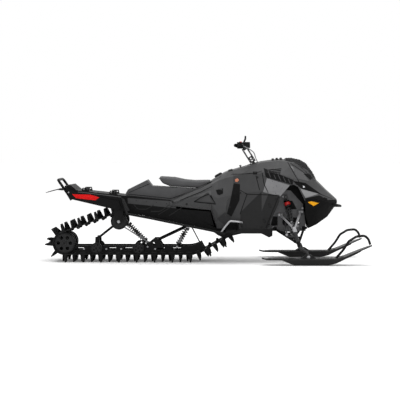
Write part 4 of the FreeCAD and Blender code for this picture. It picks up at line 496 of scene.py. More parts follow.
def studded(shape, places, facing, guide=(0.80, 0.35, 0.48)):
    """A small shape copied to many places, each standing up along its own facing direction."""
    if not len(places):
        raise SystemExit("no place was found for a shape")
    facing = np.broadcast_to(unit(np.atleast_2d(facing)), np.atleast_2d(places).shape)
    across = unit(np.cross(guide, facing))
    return stamped(shape, places, across, np.cross(facing, across), facing)


def hexagon_bolt(size):
    """A domed hexagon head on a round washer, standing on z = 0."""
    rim = size * 1.35
    washer = turned([(rim, -size * 0.2), (rim, size * 0.12), (size * 1.22, size * 0.2)], sides=20)
    head = [(size, size * 0.1), (size, size * 0.65), (size * 0.84, size * 0.82), (size * 0.4, size * 0.86)]
    return joined(washer, turned(head, sides=6))


def rivet(size):
    """A low dome: its radius shrinks with the cosine as its height grows with the sine."""
    rise = np.linspace(0, math.pi / 2 * 0.92, 5)
    dome = np.stack([size * np.cos(rise), size * 0.45 * np.sin(rise)], axis=-1)
    return turned(np.concatenate([[(size, -size * 0.2)], dome]), sides=14)


def block(length, width, height, taper=0.6):
    """A tapered block on z = 0: a rectangle, and above it the same rectangle made smaller."""
    corners = np.array([(-1, -1), (1, -1), (1, 1), (-1, 1)]) * np.array([length, width]) / 2
    levels = ((1, 0), (1, height * 0.35), (taper, height * 0.92), (taper * 0.85, height))
    return shell([np.column_stack([corners * scale, np.full(4, level)]) for scale, level in levels])


print("a hexagon bolt has", len(hexagon_bolt(0.008)[0]), "points")

# %% Put a shape into Blender
crease = math.radians(38)


def show(name, mesh, body, slot, material, sharp=crease):
    """Links a mesh as a piece that is smooth up to a sharp angle and rides on a body."""
    mesh.polygons.foreach_set("use_smooth", np.ones(len(mesh.polygons), dtype=bool))
    mesh.set_sharp_from_angle(angle=sharp)
    mesh.materials.clear()
    mesh.materials.append(material or finishes[slot])
    thing = bpy.data.objects.new(name, mesh)
    bpy.context.collection.objects.link(thing)
    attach(thing, body)
    return thing


def piece(name, shape, slot, material=None, body="chassis"):
    """A new mesh from points and faces, with its faces turned outwards."""
    points, faces = shape
    mesh = bpy.data.meshes.new(name)
    mesh.from_pydata(points.tolist(), [], [face for group in faces for face in group.tolist()])
    work = bmesh.new()
    work.from_mesh(mesh)
    bmesh.ops.recalc_face_normals(work, faces=work.faces)
    work.to_mesh(mesh)
    work.free()
    return show(name, mesh, body, slot, material)


skin_trees = {}


def skin_of(names):
    """A search tree over the faces of one node, or of several that are named with spaces between."""
    if names not in skin_trees:
        corners, faces = [], []
        for mesh in [nodes[name].data for name in names.split()]:
            faces += [tuple(corner + len(corners) for corner in face.vertices) for face in mesh.polygons]
            corners += [vertex.co for vertex in mesh.vertices]
        skin_trees[names] = BVHTree.FromPolygons(corners, faces)
    return skin_trees[names]


def landed(names, starts, direction):
    """Where rays from some places meet the skin of a node, and which way the skin faces there."""
    hits = [skin_of(names).ray_cast(Vector(start), Vector(direction)) for start in starts]
    found = [hit for hit in hits if hit[0] is not None]
    if len(found) < len(hits):
        print("rays that miss", names + ":", len(hits) - len(found), "of", len(hits))
    return np.array([hit[0] for hit in found]), np.array([hit[1] for hit in found])


def evened(points, step):
    """Places along a broken line about one step apart, by straight shares between its corners."""
    points = np.asarray(points, dtype=float)
    spans = np.linalg.norm(np.diff(points, axis=0), axis=1)
    along = np.concatenate([[0], np.cumsum(spans)])
    wanted = np.linspace(0, along[-1], max(2, int(round(along[-1] / step)) + 1))
    return np.stack([np.interp(wanted, along, points[:, axis]) for axis in range(points.shape[1])], axis=-1)


def bead_on(node, line, direction, width, height, step=0.02):
    """A low bead with sloped sides that follows a node's skin under a broken line."""
    places, facing = landed(node, evened(line, step), direction)
    ahead = unit(np.gradient(places, axis=0))
    across = unit(np.cross(facing, ahead))
    half = width / 2
    near_side = [(half, -height), (half, 0), (half * 0.6, height)]
    profile = [(-half, -height)] + near_side + [(-half * 0.6, height), (-half, 0)]
    return carried(profile, places, across, facing)


side_start = -2.0
top_start = 2.0
sideward = (0, 1, 0)
downward = (0, 0, -1)


def from_side(points):
    """Starts of rays that come in from the near side, for (x, z) pairs."""
    points = np.asarray(points, dtype=float)
    return np.stack([points[:, 0], np.full(len(points), side_start), points[:, 1]], axis=-1)


def from_top(points):
    """Starts of rays that come down from above, for (x, y) pairs."""
    points = np.asarray(points, dtype=float)
    return np.column_stack([points, np.full(len(points), top_start)])


def on_side(shape, names, spots):
    """A small shape at (x, z) pairs, landed on a skin from the near side."""
    return studded(shape, *landed(names, from_side(spots), sideward))


def on_top(shape, names, spots, **guide):
    """A small shape at (x, y) pairs, landed on a skin from above."""
    return studded(shape, *landed(names, from_top(spots), downward), **guide)


def side_bead(names, line, width, height, step=0.02):
    """A bead along a broken line of (x, z) pairs, landed on a skin from the near side."""
    return bead_on(names, from_side(line), sideward, width, height, step)


def seen_at(pixels, depth=-0.28):
    """Where the camera sees some pixels of its picture on an upright plane at a depth: (x, z) pairs."""
    scale = (depth - camera_place.y) / focal_pixels
    away = (np.asarray(pixels, dtype=float) - np.array(foot_pixel)) * scale
    return np.stack([camera_place.x + away[:, 0], camera_place.z - away[:, 1]], axis=-1)


def inlaid(names, pixels, rise=0.002, step=0.008, depth=-0.28):
    """A thin plate on a skin: places shared out evenly between four corners, each landed from the side."""
    first, second, third, fourth = seen_at(pixels, depth)
    rows = max(2, int(np.linalg.norm(second - first) / step))
    cols = max(2, int(np.linalg.norm(fourth - first) / step))
    shares = np.meshgrid(np.linspace(0, 1, rows), np.linspace(0, 1, cols), indexing="ij")
    u, v = (share[..., None] for share in shares)
    flat = (1 - u) * (1 - v) * first + u * (1 - v) * second + u * v * third + (1 - u) * v * fourth
    tree = skin_of(names)
    places = []
    for start in from_side(flat.reshape(-1, 2)):
        hit = tree.ray_cast(Vector(start), Vector(sideward))[0]
        places.append(hit or tree.find_nearest(Vector((start[0], depth, start[2])))[0])
    places = np.array(places).reshape(rows, cols, 3)
    away = np.array([0, -rise, 0])
    return shell(np.concatenate([places + away, (places - away)[:, ::-1]], axis=1))


print("sharp above", round(math.degrees(crease)), "degrees")

# %% [markdown]
# ## Panels with soft edges
# Moulded panels never end in a knife edge: each fold has a radius of a millimetre or two, and that is
# where the light catches. Rounding them in the shader would vanish on export, so each panel is copied,
# its loose corners are merged, and a Bevel modifier rounds only the real folds.

# %% Round the folds of the panels
fold_radius = 0.0016
fold_angle = math.radians(14)
merge_gap = 0.00004
flat_angle = math.radians(0.5)


def softened(node, radius=fold_radius):
    """A copy of a node with merged corners and rounded folds, that stands for the node."""
    mesh = nodes[node].data.copy()
    mesh.name = node + "_skin"
    material = nodes[node].data.materials[0]
    work = bmesh.new()
    work.from_mesh(mesh)
    bmesh.ops.remove_doubles(work, verts=work.verts, dist=merge_gap)
    bmesh.ops.dissolve_limit(work, angle_limit=flat_angle, verts=work.verts, edges=work.edges)
    work.to_mesh(mesh)
    work.free()
    thing = show(mesh.name, mesh, "chassis", slot_of[node], material, fold_angle)
    rounding = thing.modifiers.new("rounding", "BEVEL")
    rounding.width = radius
    rounding.segments = 2
    rounding.limit_method = "ANGLE"
    rounding.angle_limit = fold_angle
    rounding.use_clamp_overlap = False
    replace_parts(thing, node)
    return thing


def rows_of(items, field):
    """One row of three numbers for each corner or face of a mesh."""
    values = np.empty(len(items) * 3)
    items.foreach_get(field, values)
    return values.reshape(-1, 3)


def second_finish(thing, material, chosen):
    """Gives the chosen faces of a piece another finish."""
    thing.data.materials.append(material)
    thing.data.polygons.foreach_set("material_index", chosen.astype(np.int32))
    return int(chosen.sum())


skins = {node: softened(node) for node in
         ("hood", "console", "side_panel_left", "side_panel_right", "nose_pan", "side_accents", "seat_base")}
# Painted shade: the lower foot of each side panel takes a darker finish, for facets that face down, away from
# the light.
painted_shade_line = np.array([(0.366, 0.452), (0.465, 0.698), (0.711, 0.678)])
for node in ("side_panel_left", "side_panel_right"):
    centres = rows_of(skins[node].data.polygons, "center")
    right_of = centres[:, 0] > np.interp(centres[:, 2], painted_shade_line[:2, 1], painted_shade_line[:2, 0])
    below = centres[:, 2] < np.interp(centres[:, 0], painted_shade_line[1:, 0], painted_shade_line[1:, 1])
    print(node, "faces in the shaded foot:", second_finish(skins[node], dark_grey, right_of & below))

# %% [markdown]
# ## The seat
# The cushion is one block of firm foam under a stretched cover. It could be a box with a Subdivision
# Surface, but that rounds every edge alike. We make rings instead: each is a rounded rectangle between
# the cushion's own top and bottom line, crowned in the middle. A short cloth simulation then lets the
# cover swell between its sewn lines, which stay pinned.

# %% Shape the cushion
seat_stations = 96
seat_sides = 88
seat_half_width = 0.129
seat_waist = 0.004
seat_margin = 0.004
seat_end_round = 0.030
seat_corner = 0.34
seat_crown = 0.008
seam_share = 0.74
foot_seam_share = 0.97
heel_length = 0.118
thinnest = 0.002


def superround(angle, power):
    """Cosine and sine raised to a power with their signs kept: a rectangle with round corners."""
    cosine, sine = np.cos(angle), np.sin(angle)
    return np.sign(cosine) * np.abs(cosine) ** power, np.sign(sine) * np.abs(sine) ** power


seat_low, seat_high = (np.array(corner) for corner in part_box("seat_cushion"))
station_x = np.linspace(seat_low[0] + seat_margin, seat_high[0] - seat_margin, seat_stations)
probes = np.stack([station_x, np.zeros(seat_stations)], axis=-1)
top_z = landed("seat_cushion", from_top(probes), downward)[0][:, 2] - seat_margin
foot_probes = np.column_stack([probes, np.zeros(seat_stations)])
foot_z = landed("seat_cushion", foot_probes, (0, 0, 1))[0][:, 2] + seat_margin
from_end = np.minimum(station_x - station_x[0], station_x[-1] - station_x) / seat_end_round
end_share = np.sqrt(np.clip(1 - (1 - np.clip(from_end, 0, 1)) ** 2, 0.02, 1))[:, None]
waist = seat_waist * np.sin(math.pi * np.linspace(0, 1, seat_stations))[:, None]
turn = np.linspace(0, 2 * math.pi, seat_sides, endpoint=False)
side_share, height_share = superround(turn, seat_corner)
half_height = np.maximum((top_z - foot_z)[:, None] / 2 * end_share - seat_crown / 2, thinnest)
crown = seat_crown * (1 - side_share[None] ** 2) * np.clip(height_share, 0, 1)[None] * end_share
seat_y = (seat_half_width - waist) * side_share[None] * (0.75 + 0.25 * end_share)
seat_z = (top_z + foot_z)[:, None] / 2 + half_height * height_share[None] + crown
seat_rings = np.stack([np.broadcast_to(station_x[:, None], seat_y.shape), seat_y, seat_z], axis=-1)
print("cushion is", round(float(station_x[-1] - station_x[0]), 3), "m long")

# %% Sew and fill the cushion
puff_pressure = 3.0
puff_cap = 0.005
puff_frames = 18
cover_stretch = 25
cover_bending = 2

cushion = piece("cushion_cover", shell(seat_rings), "seat_cover")
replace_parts(cushion, "seat_cushion")
is_top = height_share > 0
is_foot = height_share < -0.9
seam_columns = [int(np.argmin(np.abs(side_share - way * share) + 2 * ~allowed))
                for allowed, share in ((is_top, seam_share), (is_foot, foot_seam_share)) for way in (-1, 1)]
cross_rows = [int(seat_stations * share) for share in (0.30, 0.62)]
ids = np.arange(seat_stations * seat_sides).reshape(seat_stations, seat_sides)
between = np.nonzero(is_top & (np.abs(side_share) <= seam_share + 0.02))[0]
between = between[np.argsort(side_share[between])]
sewn = [ids[:, column] for column in seam_columns] + [ids[row, between] for row in cross_rows]
sewn += [ids[0], ids[-1], ids[:, is_foot].reshape(-1)]
seams = cushion.vertex_groups.new(name="seams")
seams.add(np.unique(np.concatenate(sewn)).tolist(), 1.0, "REPLACE")


def puffed(thing, pressure, frames, cap):
    """Runs a cloth simulation under pressure, then keeps each corner's move below a cap."""
    start = rows_of(thing.data.vertices, "co")
    cloth = thing.modifiers.new("cloth", "CLOTH")
    cloth.settings.use_pressure = True
    cloth.settings.uniform_pressure_force = pressure
    cloth.settings.vertex_group_mass = "seams"
    cloth.settings.effector_weights.gravity = 0
    cloth.settings.tension_stiffness = cover_stretch
    cloth.settings.compression_stiffness = cover_stretch
    cloth.settings.bending_stiffness = cover_bending
    cloth.point_cache.frame_end = frames
    for step in range(1, frames + 1):
        bpy.context.scene.frame_set(step)
    solved = thing.evaluated_get(bpy.context.evaluated_depsgraph_get())
    move = rows_of(solved.data.vertices, "co") - start
    reach = np.linalg.norm(move, axis=1, keepdims=True)
    move *= np.minimum(1, cap / np.maximum(reach, cap / 1000))
    thing.modifiers.remove(cloth)
    thing.data.vertices.foreach_set("co", (start + move).reshape(-1))
    thing.data.update()
    bpy.context.scene.frame_set(1)
    return float(reach.max())


print("cover moved up to", round(puffed(cushion, puff_pressure, puff_frames, puff_cap) * 1000, 1), "mm")
seat_points = rows_of(cushion.data.vertices, "co").reshape(seat_stations, seat_sides, 3)
centres = rows_of(cushion.data.polygons, "center")
heel_end = seat_low[0] + heel_length
heel_line = np.interp(centres[:, 0], [seat_low[0], heel_end], [0.836, 0.748])
in_heel = (centres[:, 2] < heel_line) & (centres[:, 0] < heel_end)
print("faces in the dark heel:", second_finish(cushion, finishes["dark_plastic"], in_heel))

# %% Lay the piping along the seams
piping_radius = 0.0016
inner_rows = slice(3, seat_stations - 3)
runs = [tube(seat_points[inner_rows, column], piping_radius, 8, guide=(0, 1, 0)) for column in seam_columns]
runs += [tube(seat_points[row, between], piping_radius, 8, guide=(1, 0, 0)) for row in cross_rows]
piece("cushion_piping", joined(*runs), "seat_cover", finishes["grip_rubber"])
print("sewn lines:", len(runs))

# %% [markdown]
# ## Coil springs
# A spring is one wire wound at an even pitch, with its last turn at each end laid flat on its seat.
# A Screw modifier winds the even part only. Here the height is a broken line of the turn instead:
# slow over the first and the last turn, quick between them.

# %% Wind the springs
wire_radius = 0.0046
coil_radius = 0.0265
steps_per_turn = 22


def winding(low, high, turns, start=0.0, end=1.0):
    """Places on a coil: low + height(t) * axis + radius * (cos, sin)(2 pi t), flat in its end turns."""
    low, high = np.asarray(low, dtype=float), np.asarray(high, dtype=float)
    length = np.linalg.norm(high - low)
    axis = (high - low) / length
    across = unit(np.cross((0, 1, 0), axis))
    turn = np.linspace(start * turns, end * turns, int((end - start) * turns * steps_per_turn))
    flat = wire_radius * 3.1
    levels = [wire_radius, flat, length - flat, length - wire_radius]
    height = np.interp(turn, [0, 1, turns - 1, turns], levels)
    angle = 2 * math.pi * turn[:, None]
    spoke = np.cos(angle) * across + np.sin(angle) * np.cross(axis, across)
    return low + height[:, None] * axis + coil_radius * spoke


def coil(low, high, turns, start=0.0, end=1.0):
    """A wire along a winding, turned so that one side always faces the coil's axis."""
    return tube(winding(low, high, turns, start, end), wire_radius, 9, guide=np.subtract(high, low))


rear_coil = ((-0.622, 0, 0.204), (-0.790, 0, 0.369))
middle_coil = ((-0.289, 0, 0.175), (-0.204, 0, 0.334))
front_coil = ((0.859, -0.275, 0.302), (0.795, -0.154, 0.609))
dark_turns = joined(coil(*rear_coil, 11, 0.45, 1.0), coil(*middle_coil, 8, 0.5, 1.0),
                    mirrored(coil(*front_coil, 12, 0.0, 0.86)))
pale_turns = joined(coil(*rear_coil, 11, 0.0, 0.45), coil(*middle_coil, 8, 0.0, 0.5))
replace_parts(piece("spring_coils", dark_turns, "spring_steel"), "coil_springs")
piece("spring_coils_pale", pale_turns, "silver_metal")
print("wire radius", wire_radius * 1000, "mm")

# %% Dress the dampers
def sleeve_on(low, high, start, end, radius):
    """A turned sleeve with small lips between two shares of a line."""
    low, high = np.asarray(low, dtype=float), np.asarray(high, dtype=float)
    length = np.linalg.norm(high - low)
    lip = 0.003
    first, last = start * length, end * length
    profile = [(radius - lip, first), (radius, first + lip), (radius, last - lip), (radius - lip, last)]
    return turned(profile, low, high - low, 28)


collar_radius = 0.0305
rod_radius = 0.0168
seat_shares = ((rear_coil, -0.03, 0.01), (rear_coil, 0.99, 1.03), (middle_coil, -0.03, 0.02),
               (middle_coil, 0.98, 1.04))
rod_shares = ((rear_coil, 0.02, 0.34), (middle_coil, 0.03, 0.40))
collars = mirrored(sleeve_on(*front_coil, 0.88, 0.965, collar_radius))
seats = joined(*[sleeve_on(*line, start, end, collar_radius) for line, start, end in seat_shares],
               mirrored(sleeve_on(*front_coil, -0.02, 0.01, collar_radius)))
rods = joined(*[sleeve_on(*line, start, end, rod_radius) for line, start, end in rod_shares],
              mirrored(sleeve_on(*front_coil, 0.02, 0.36, rod_radius)))
piece("spring_collars", collars, "shock_body", red_paint)
piece("spring_seats", seats, "shock_body")
piece("damper_rods", rods, "silver_metal")
link_ends = [(-0.845, -0.052, 0.352), (-0.602, -0.052, 0.196)]
link = tube(evened(link_ends, 0.03), 0.0065, 12, guide=(0, 1, 0))
eye = [(0.013, -0.009), (0.013, 0.009), (0.006, 0.009), (0.006, -0.009)]
link_eyes = [turned(eye, place, (0, 1, 0), 20, closed=True) for place in link_ends]
piece("damper_link", joined(link, *link_eyes), "silver_metal")
print("sleeves:", len(seat_shares) + len(rod_shares) + 3 * 2)

# %% [markdown]
# ## The track
# The belt is one closed line round four supports. Its lugs are solid already, and what is missing is
# what a hand would feel: ribs that stiffen each paddle, the teeth that the sprockets push, and the
# steel clips that ride on the slides. All of them repeat with the pitch, so we need one function that
# says where the belt is after any travel.

# %% Follow the belt
belt_thickness = 0.010
track_pitch = 0.0889
track_pitches = 44
track_half = 0.203
rear_axle = (-1.424, 0.191)
supports = np.array([
    (*rear_axle, 0.105), (-0.190, 0.434, 0.348), (0.165, 0.345, 0.094), (-0.877, 0.409, 0.083)])


def belt_table():
    """Arcs and straight runs of the belt's middle line in order: x, z, radius, heading, turn, length."""
    after = np.roll(supports, -1, axis=0)
    step = after - supports
    goes = np.arctan2(step[:, 1], step[:, 0]) + np.arcsin(-step[:, 2] / np.hypot(step[:, 0], step[:, 1]))
    came = np.roll(goes, 1)
    turn = (goes - came) % (2 * math.pi)
    radius = supports[:, 2] + belt_thickness / 2
    arcs = np.stack([supports[:, 0], supports[:, 1], radius, came, turn, radius * turn], axis=-1)
    outward = np.stack([np.sin(goes), -np.cos(goes)], axis=-1)
    leaves = supports[:, :2] + radius[:, None] * outward
    arrives = after[:, :2] + np.roll(radius, -1)[:, None] * outward
    none = np.zeros(len(goes))
    span = np.linalg.norm(arrives - leaves, axis=1)
    runs = np.stack([leaves[:, 0], leaves[:, 1], none, goes, none, span], axis=-1)
    return np.stack([arcs, runs], axis=1).reshape(-1, 6)


belt = belt_table()
belt_length = float(belt[:, 5].sum())


def belt_places(travel):
    """Middle of the belt after some travel, with its running and its outward direction."""
    starts = np.concatenate([[0], np.cumsum(belt[:, 5])])
    travel = np.mod(np.asarray(travel, dtype=float), belt_length)
    which = np.clip(np.searchsorted(starts, travel, side="right") - 1, 0, len(belt) - 1)
    x, z, radius, heading, turn, span = belt[which].T
    left = travel - starts[which]
    heading = heading + turn * left / span
    straight = np.where(radius == 0, left, 0)
    none = np.zeros(len(travel))
    ahead = np.stack([np.cos(heading), none, np.sin(heading)], axis=-1)
    outward = np.stack([np.sin(heading), none, -np.cos(heading)], axis=-1)
    places = np.stack([x, none, z], axis=-1) + radius[:, None] * outward + straight[:, None] * ahead
    return places, ahead, outward


def along_belt(shape, travel, sides):
    """A small shape at each travel and each place across: x runs with the belt, z stands outwards."""
    places, ahead, outward = belt_places(travel)
    across = np.array([0, 1, 0])
    return joined(*[stamped(shape, places + side * across, ahead, across, outward) for side in sides])


print("belt is", round(belt_length, 4), "m long")
print(track_pitches, "pitches are", round(track_pitch * track_pitches, 4), "m long")

# %% Add the ribs, teeth and clips
rib_half = 0.0035
rib_outline = np.array([(0.0130, 0.006), (0.0200, 0.006), (0.0120, 0.062), (0.0065, 0.068)])
lug_stagger = 0.018
clip_sides = (-0.112, 0.112)
tooth_sides = (-0.088, 0.088, -0.141, 0.141)


def rib_shape(side):
    """A thin wedge on a paddle's sloping face: an outline in the belt's direction, carried across."""
    path = np.array([(0, -rib_half, 0), (0, rib_half, 0)])
    return carried(rib_outline * np.array([side, 1]), path, np.array([1, 0, 0]), np.array([0, 0, 1]))


def hung(shape, drop):
    """A shape turned over, so that it hangs below z = -drop."""
    return shape[0] * np.array([1, 1, -1]) - np.array([0, 0, drop]), shape[1]


pitch_middles = (np.arange(track_pitches) + 0.5) * track_pitch
pairs_at, threes_at = pitch_middles[0::2], pitch_middles[1::2]
pair_ribs = np.array([-0.66, -0.45, -0.24, 0.24, 0.45, 0.66]) * track_half
outer_ribs = np.array([-0.90, -0.62, 0.62, 0.90]) * track_half
inner_ribs = np.array([-0.22, 0.0, 0.22]) * track_half
ribs = []
for side in (-1, 1):
    ribs.append(along_belt(rib_shape(side), pairs_at, pair_ribs))
    ribs.append(along_belt(rib_shape(side), threes_at + lug_stagger / 2, outer_ribs))
    ribs.append(along_belt(rib_shape(side), threes_at - lug_stagger, inner_ribs))
piece("paddle_ribs", joined(*ribs), "track_rubber")
tooth = hung(block(0.030, 0.012, 0.021), belt_thickness / 2)
teeth_at = pitch_middles - track_pitch / 2
piece("belt_teeth", along_belt(tooth, teeth_at, tooth_sides), "track_rubber")
clip = hung(block(0.030, 0.022, 0.0014, 0.92), belt_thickness / 2 - 0.0004)
piece("belt_clips", along_belt(clip, pitch_middles, clip_sides), "silver_metal")
print("paddle ribs:", len(pairs_at) * 12 + len(threes_at) * 14)

# %% [markdown]
# ## Wheels and rails
# The wheels are bare discs so far. A real one has a rubber tyre pressed on, rounded at the shoulders,
# and a bolt in its hub. The rails carry the arms on through-bolts.

# %% Fit tyres and hub bolts
wheel_half = 0.011
tyre_overhang = 0.0012
tyre_inset = 0.0004
tyre_depth = 0.009
wheel_sets = [
    (*rear_axle, 0.105, (0.165, 0.062)),
    (-0.877, 0.409, 0.083, (0.165,)),
    (-1.1035, 0.142, 0.056, (0.165,)),
    (-0.6835, 0.142, 0.056, (0.165,)),
]


def tyre(x, z, y, radius):
    """A ring with round shoulders on a wheel's rim: its closed section is spun round the axle."""
    wide = wheel_half + tyre_overhang
    rim = radius - tyre_inset
    inner = radius - tyre_depth
    outside = [(rim - 0.004, wide), (rim - 0.001, wide - 0.003), (rim, wide - 0.006)]
    profile = [(inner, -wide)] + [(r, -w) for r, w in outside] + outside[::-1] + [(inner, wide)]
    return turned(profile, (x, y, z), (0, 1, 0), 40, closed=True)


tyres = joined(*[tyre(x, z, y, radius) for x, z, radius, sides in wheel_sets for y in sides])
piece("wheel_tyres", mirrored(tyres), "wheel_plastic", finishes["track_rubber"])
hub_places = [(x, -(sides[0] + wheel_half), z) for x, z, radius, sides in wheel_sets]
piece("hub_bolts", mirrored(studded(hexagon_bolt(0.010), hub_places, (0, -1, 0))), "cast_metal")
rail_spots = [
    (-1.235, 0.128), (-1.010, 0.128), (-0.860, 0.128), (-0.596, 0.150), (-0.520, 0.128), (-0.300, 0.150)]
rail_bolts = on_side(hexagon_bolt(0.0075), "skid_rails", rail_spots)
piece("rail_bolts", mirrored(rail_bolts), "silver_metal")
arm_spots = [(-0.877, -0.219, 0.409), (-0.190, -0.219, 0.360)]
piece("arm_bolts", mirrored(studded(hexagon_bolt(0.011), arm_spots, (0, -1, 0))), "silver_metal")
print("tyres:", 2 * sum(len(sides) for x, z, radius, sides in wheel_sets))

# %% [markdown]
# ## The tunnel and the tail
# The tunnel is folded from thin sheet. It is stiffened by pressed diagonal swages and held by rows of
# rivets. The swages could be cut into the solid, but a millimetre of relief is better laid on as a bead
# that follows the sheet.

# %% Press the swages and set the rivets
swage_lines = [
    [(-0.730, 0.586), (-0.686, 0.532), (-0.601, 0.532), (-0.526, 0.576)],
    [(-0.557, 0.511), (-0.461, 0.511), (-0.375, 0.576)],
    [(-0.482, 0.479), (-0.322, 0.576)],
    [(-0.375, 0.468), (-0.225, 0.565)],
]
swages = [side_bead("tunnel", line, 0.009, 0.0016, 0.03) for line in swage_lines]
piece("tunnel_swages", mirrored(joined(*swages)), "black_metal", dark_grey)
low_row = evened([(-0.830, 0.546), (-0.554, 0.486), (-0.359, 0.446), (-0.150, 0.404)], 0.062)
high_row = evened([(-0.800, 0.628), (-0.400, 0.590)], 0.10)
rivets = on_side(rivet(0.0045), "tunnel", np.concatenate([low_row, high_row]))
piece("tunnel_rivets", mirrored(rivets), "black_metal")
print("rivets:", 2 * (len(low_row) + len(high_row)))

# %% Lay the pale band, the strut's painted highlight and the painted shade under the console
plate_rise = 0.0012
plates = (
    ("tunnel_band", "tunnel", 0.02, -0.222, matt_grey,
     [(127.5, 198.0), (176, 201.5), (176, 208.3), (127.5, 203.5)]),
    # Painted highlight: a pale grey face on the dark strut, for light that catches its edges.
    ("strut_faces", "running_board_right tunnel", 0.01, -0.385, side_grey,
     [(119.8, 199.5), (122.6, 199.5), (128.3, 211.5), (125.6, 211.5)]),
    # Painted shade: a black plate in the hollow under the console, where little light reaches.
    ("sill_plates", "tunnel console_liners", 0.012, -0.222, sheet_black,
     [(177, 208.8), (210, 211.5), (214, 226), (186, 214.5)]),
)
for name, names, step, depth, material, pixels in plates:
    piece(name, mirrored(inlaid(names, pixels, plate_rise, step, depth)), "black_metal", material)
print("plates laid on each side:", len(plates))

# %% Dress the tail
flap_ribs = [bead_on("snow_flap", from_top([(-1.590, y), (-1.420, y)]), downward, 0.010, 0.0025)
             for y in (-0.135, -0.045, 0.045, 0.135)]
piece("flap_ribs", joined(*flap_ribs), "flap_rubber")
tail_spots = [(-1.372, 0.700)]
tail_screws = on_side(hexagon_bolt(0.0055), "tail_cover", tail_spots)
piece("tail_screws", mirrored(tail_screws), "silver_metal")
hoop_radius = 0.0042
hoop_rise = 0.0375
hoops = []
for x_rear, x_front, foot in ((-1.251, -1.171, 0.706), (-0.976, -0.896, 0.677)):
    top = foot + hoop_rise - hoop_radius
    corners = [(x_rear + 0.006, -0.138, foot + 0.004), (x_rear + 0.012, -0.138, top),
               (x_front - 0.012, -0.138, top - 0.004), (x_front - 0.006, -0.138, foot)]
    hoops.append(tube(evened(corners, 0.008), hoop_radius, 10, guide=(0, 1, 0)))
piece("anchor_hoops", mirrored(joined(*hoops)), "silver_metal")
edge_line = from_side(seen_at([(77.5, 192.2), (100, 194.6), (121, 197.2)], -0.23))
edges = bead_on("tail_cover tunnel", edge_line, sideward, 0.007, 0.0012)
piece("deck_edges", mirrored(edges), "black_metal", pale_grey)
lens_outline = np.array([(-1.338, 0.683), (-1.157, 0.678), (-1.066, 0.651), (-1.107, 0.621), (-1.297, 0.643)])
lens_middle = lens_outline.mean(axis=0)
lens_rings = []
for inset, y in ((1.0, -0.2300), (1.0, -0.2355), (0.94, -0.2372)):
    ring = lens_middle + inset * (lens_outline - lens_middle)
    lens_rings.append(np.column_stack([ring[:, 0], np.full(len(ring), y), ring[:, 1]]))
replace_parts(piece("tail_lamp_lenses", mirrored(shell(lens_rings)), "red_lens"), "tail_lamps")
print("flap ribs:", len(flap_ribs))

# %% [markdown]
# ## Running boards
# A boot must not slip off the board, so its top is set with rows of small teeth that also let the snow
# through. A bump in the material would look the same from the side, but not from above, where the rider
# stands, so each tooth is a real short cone, landed on the board.

# %% Set the traction teeth
tooth_rows = (-0.365, -0.325, -0.285, -0.250)
tooth_grid = np.stack(np.meshgrid(np.arange(-0.72, 0.10, 0.034), tooth_rows), axis=-1).reshape(-1, 2)
grip_places, grip_facing = landed("running_board_right", from_top(tooth_grid), downward)
level_enough = grip_facing[:, 2] > 0.8
cone = turned([(0.0060, -0.002), (0.0056, 0.001), (0.0035, 0.0055), (0.0020, 0.0058)], sides=8)
teeth = studded(cone, grip_places[level_enough], grip_facing[level_enough])
piece("board_teeth", mirrored(teeth), "black_metal")
print("traction teeth:", 2 * int(level_enough.sum()))

# %% [markdown]
# ## Hood and console details
# A few small things break up the big panels: fasteners, a fuel cap, a choke knob, a bezel round the
# steering column and the mesh of the screens. Each sits on the skin by a ray that is cast on it, so it
# follows the panel's slope from every side.

# %% Screws and caps in the sides
screw = turned([
    (0.0105, -0.002), (0.0105, 0.0012), (0.0092, 0.0024), (0.0050, 0.0024), (0.0040, 0.0008)], sides=24)
cap = turned([(0.0215, -0.003), (0.0215, 0.0015), (0.0190, 0.0032), (0.0080, 0.0040)], sides=5)
cup = turned([(0.017, -0.002), (0.017, 0.001), (0.0145, 0.0022), (0.0125, -0.0005)], sides=20)
cup = (cup[0] * np.array([1.4, 0.62, 1]), cup[1])
panel_spots = [(0.500, 0.852), (0.330, 0.700), (0.230, 0.560), (0.680, 0.640), (0.350, 0.365), (0.540, 0.362)]
fasteners = (
    ("panel_screws", screw, "side_panel_right", panel_spots, "dark_plastic", None),
    ("console_screws", screw, "console", [(-0.338, 0.606), (-0.200, 0.585)], "dark_plastic", None),
    ("panel_caps", cap, "side_panel_right", [(0.297, 0.822)], "grey_plastic", dull_orange),
    ("panel_slots", cup, "side_panel_right", [(0.620, 0.575), (0.565, 0.425)], "dark_plastic",
     finishes["grip_rubber"]),
)
for name, shape, names, spots, slot, material in fasteners:
    piece(name, mirrored(on_side(shape, names, spots)), slot, material)
print("fasteners:", 2 * sum(len(row[3]) for row in fasteners))

# %% [markdown]
# The big panels are not one colour all over: dark inserts, vents and shadow gaps break them up. They
# could be painted on, but an insert is a separate thin moulding, so each is a thin plate that follows
# the skin. The gaps between panels are dark cords of rubber seal. The deep black plates in the footwell
# are painted shade, where its recess beside the console falls dark.

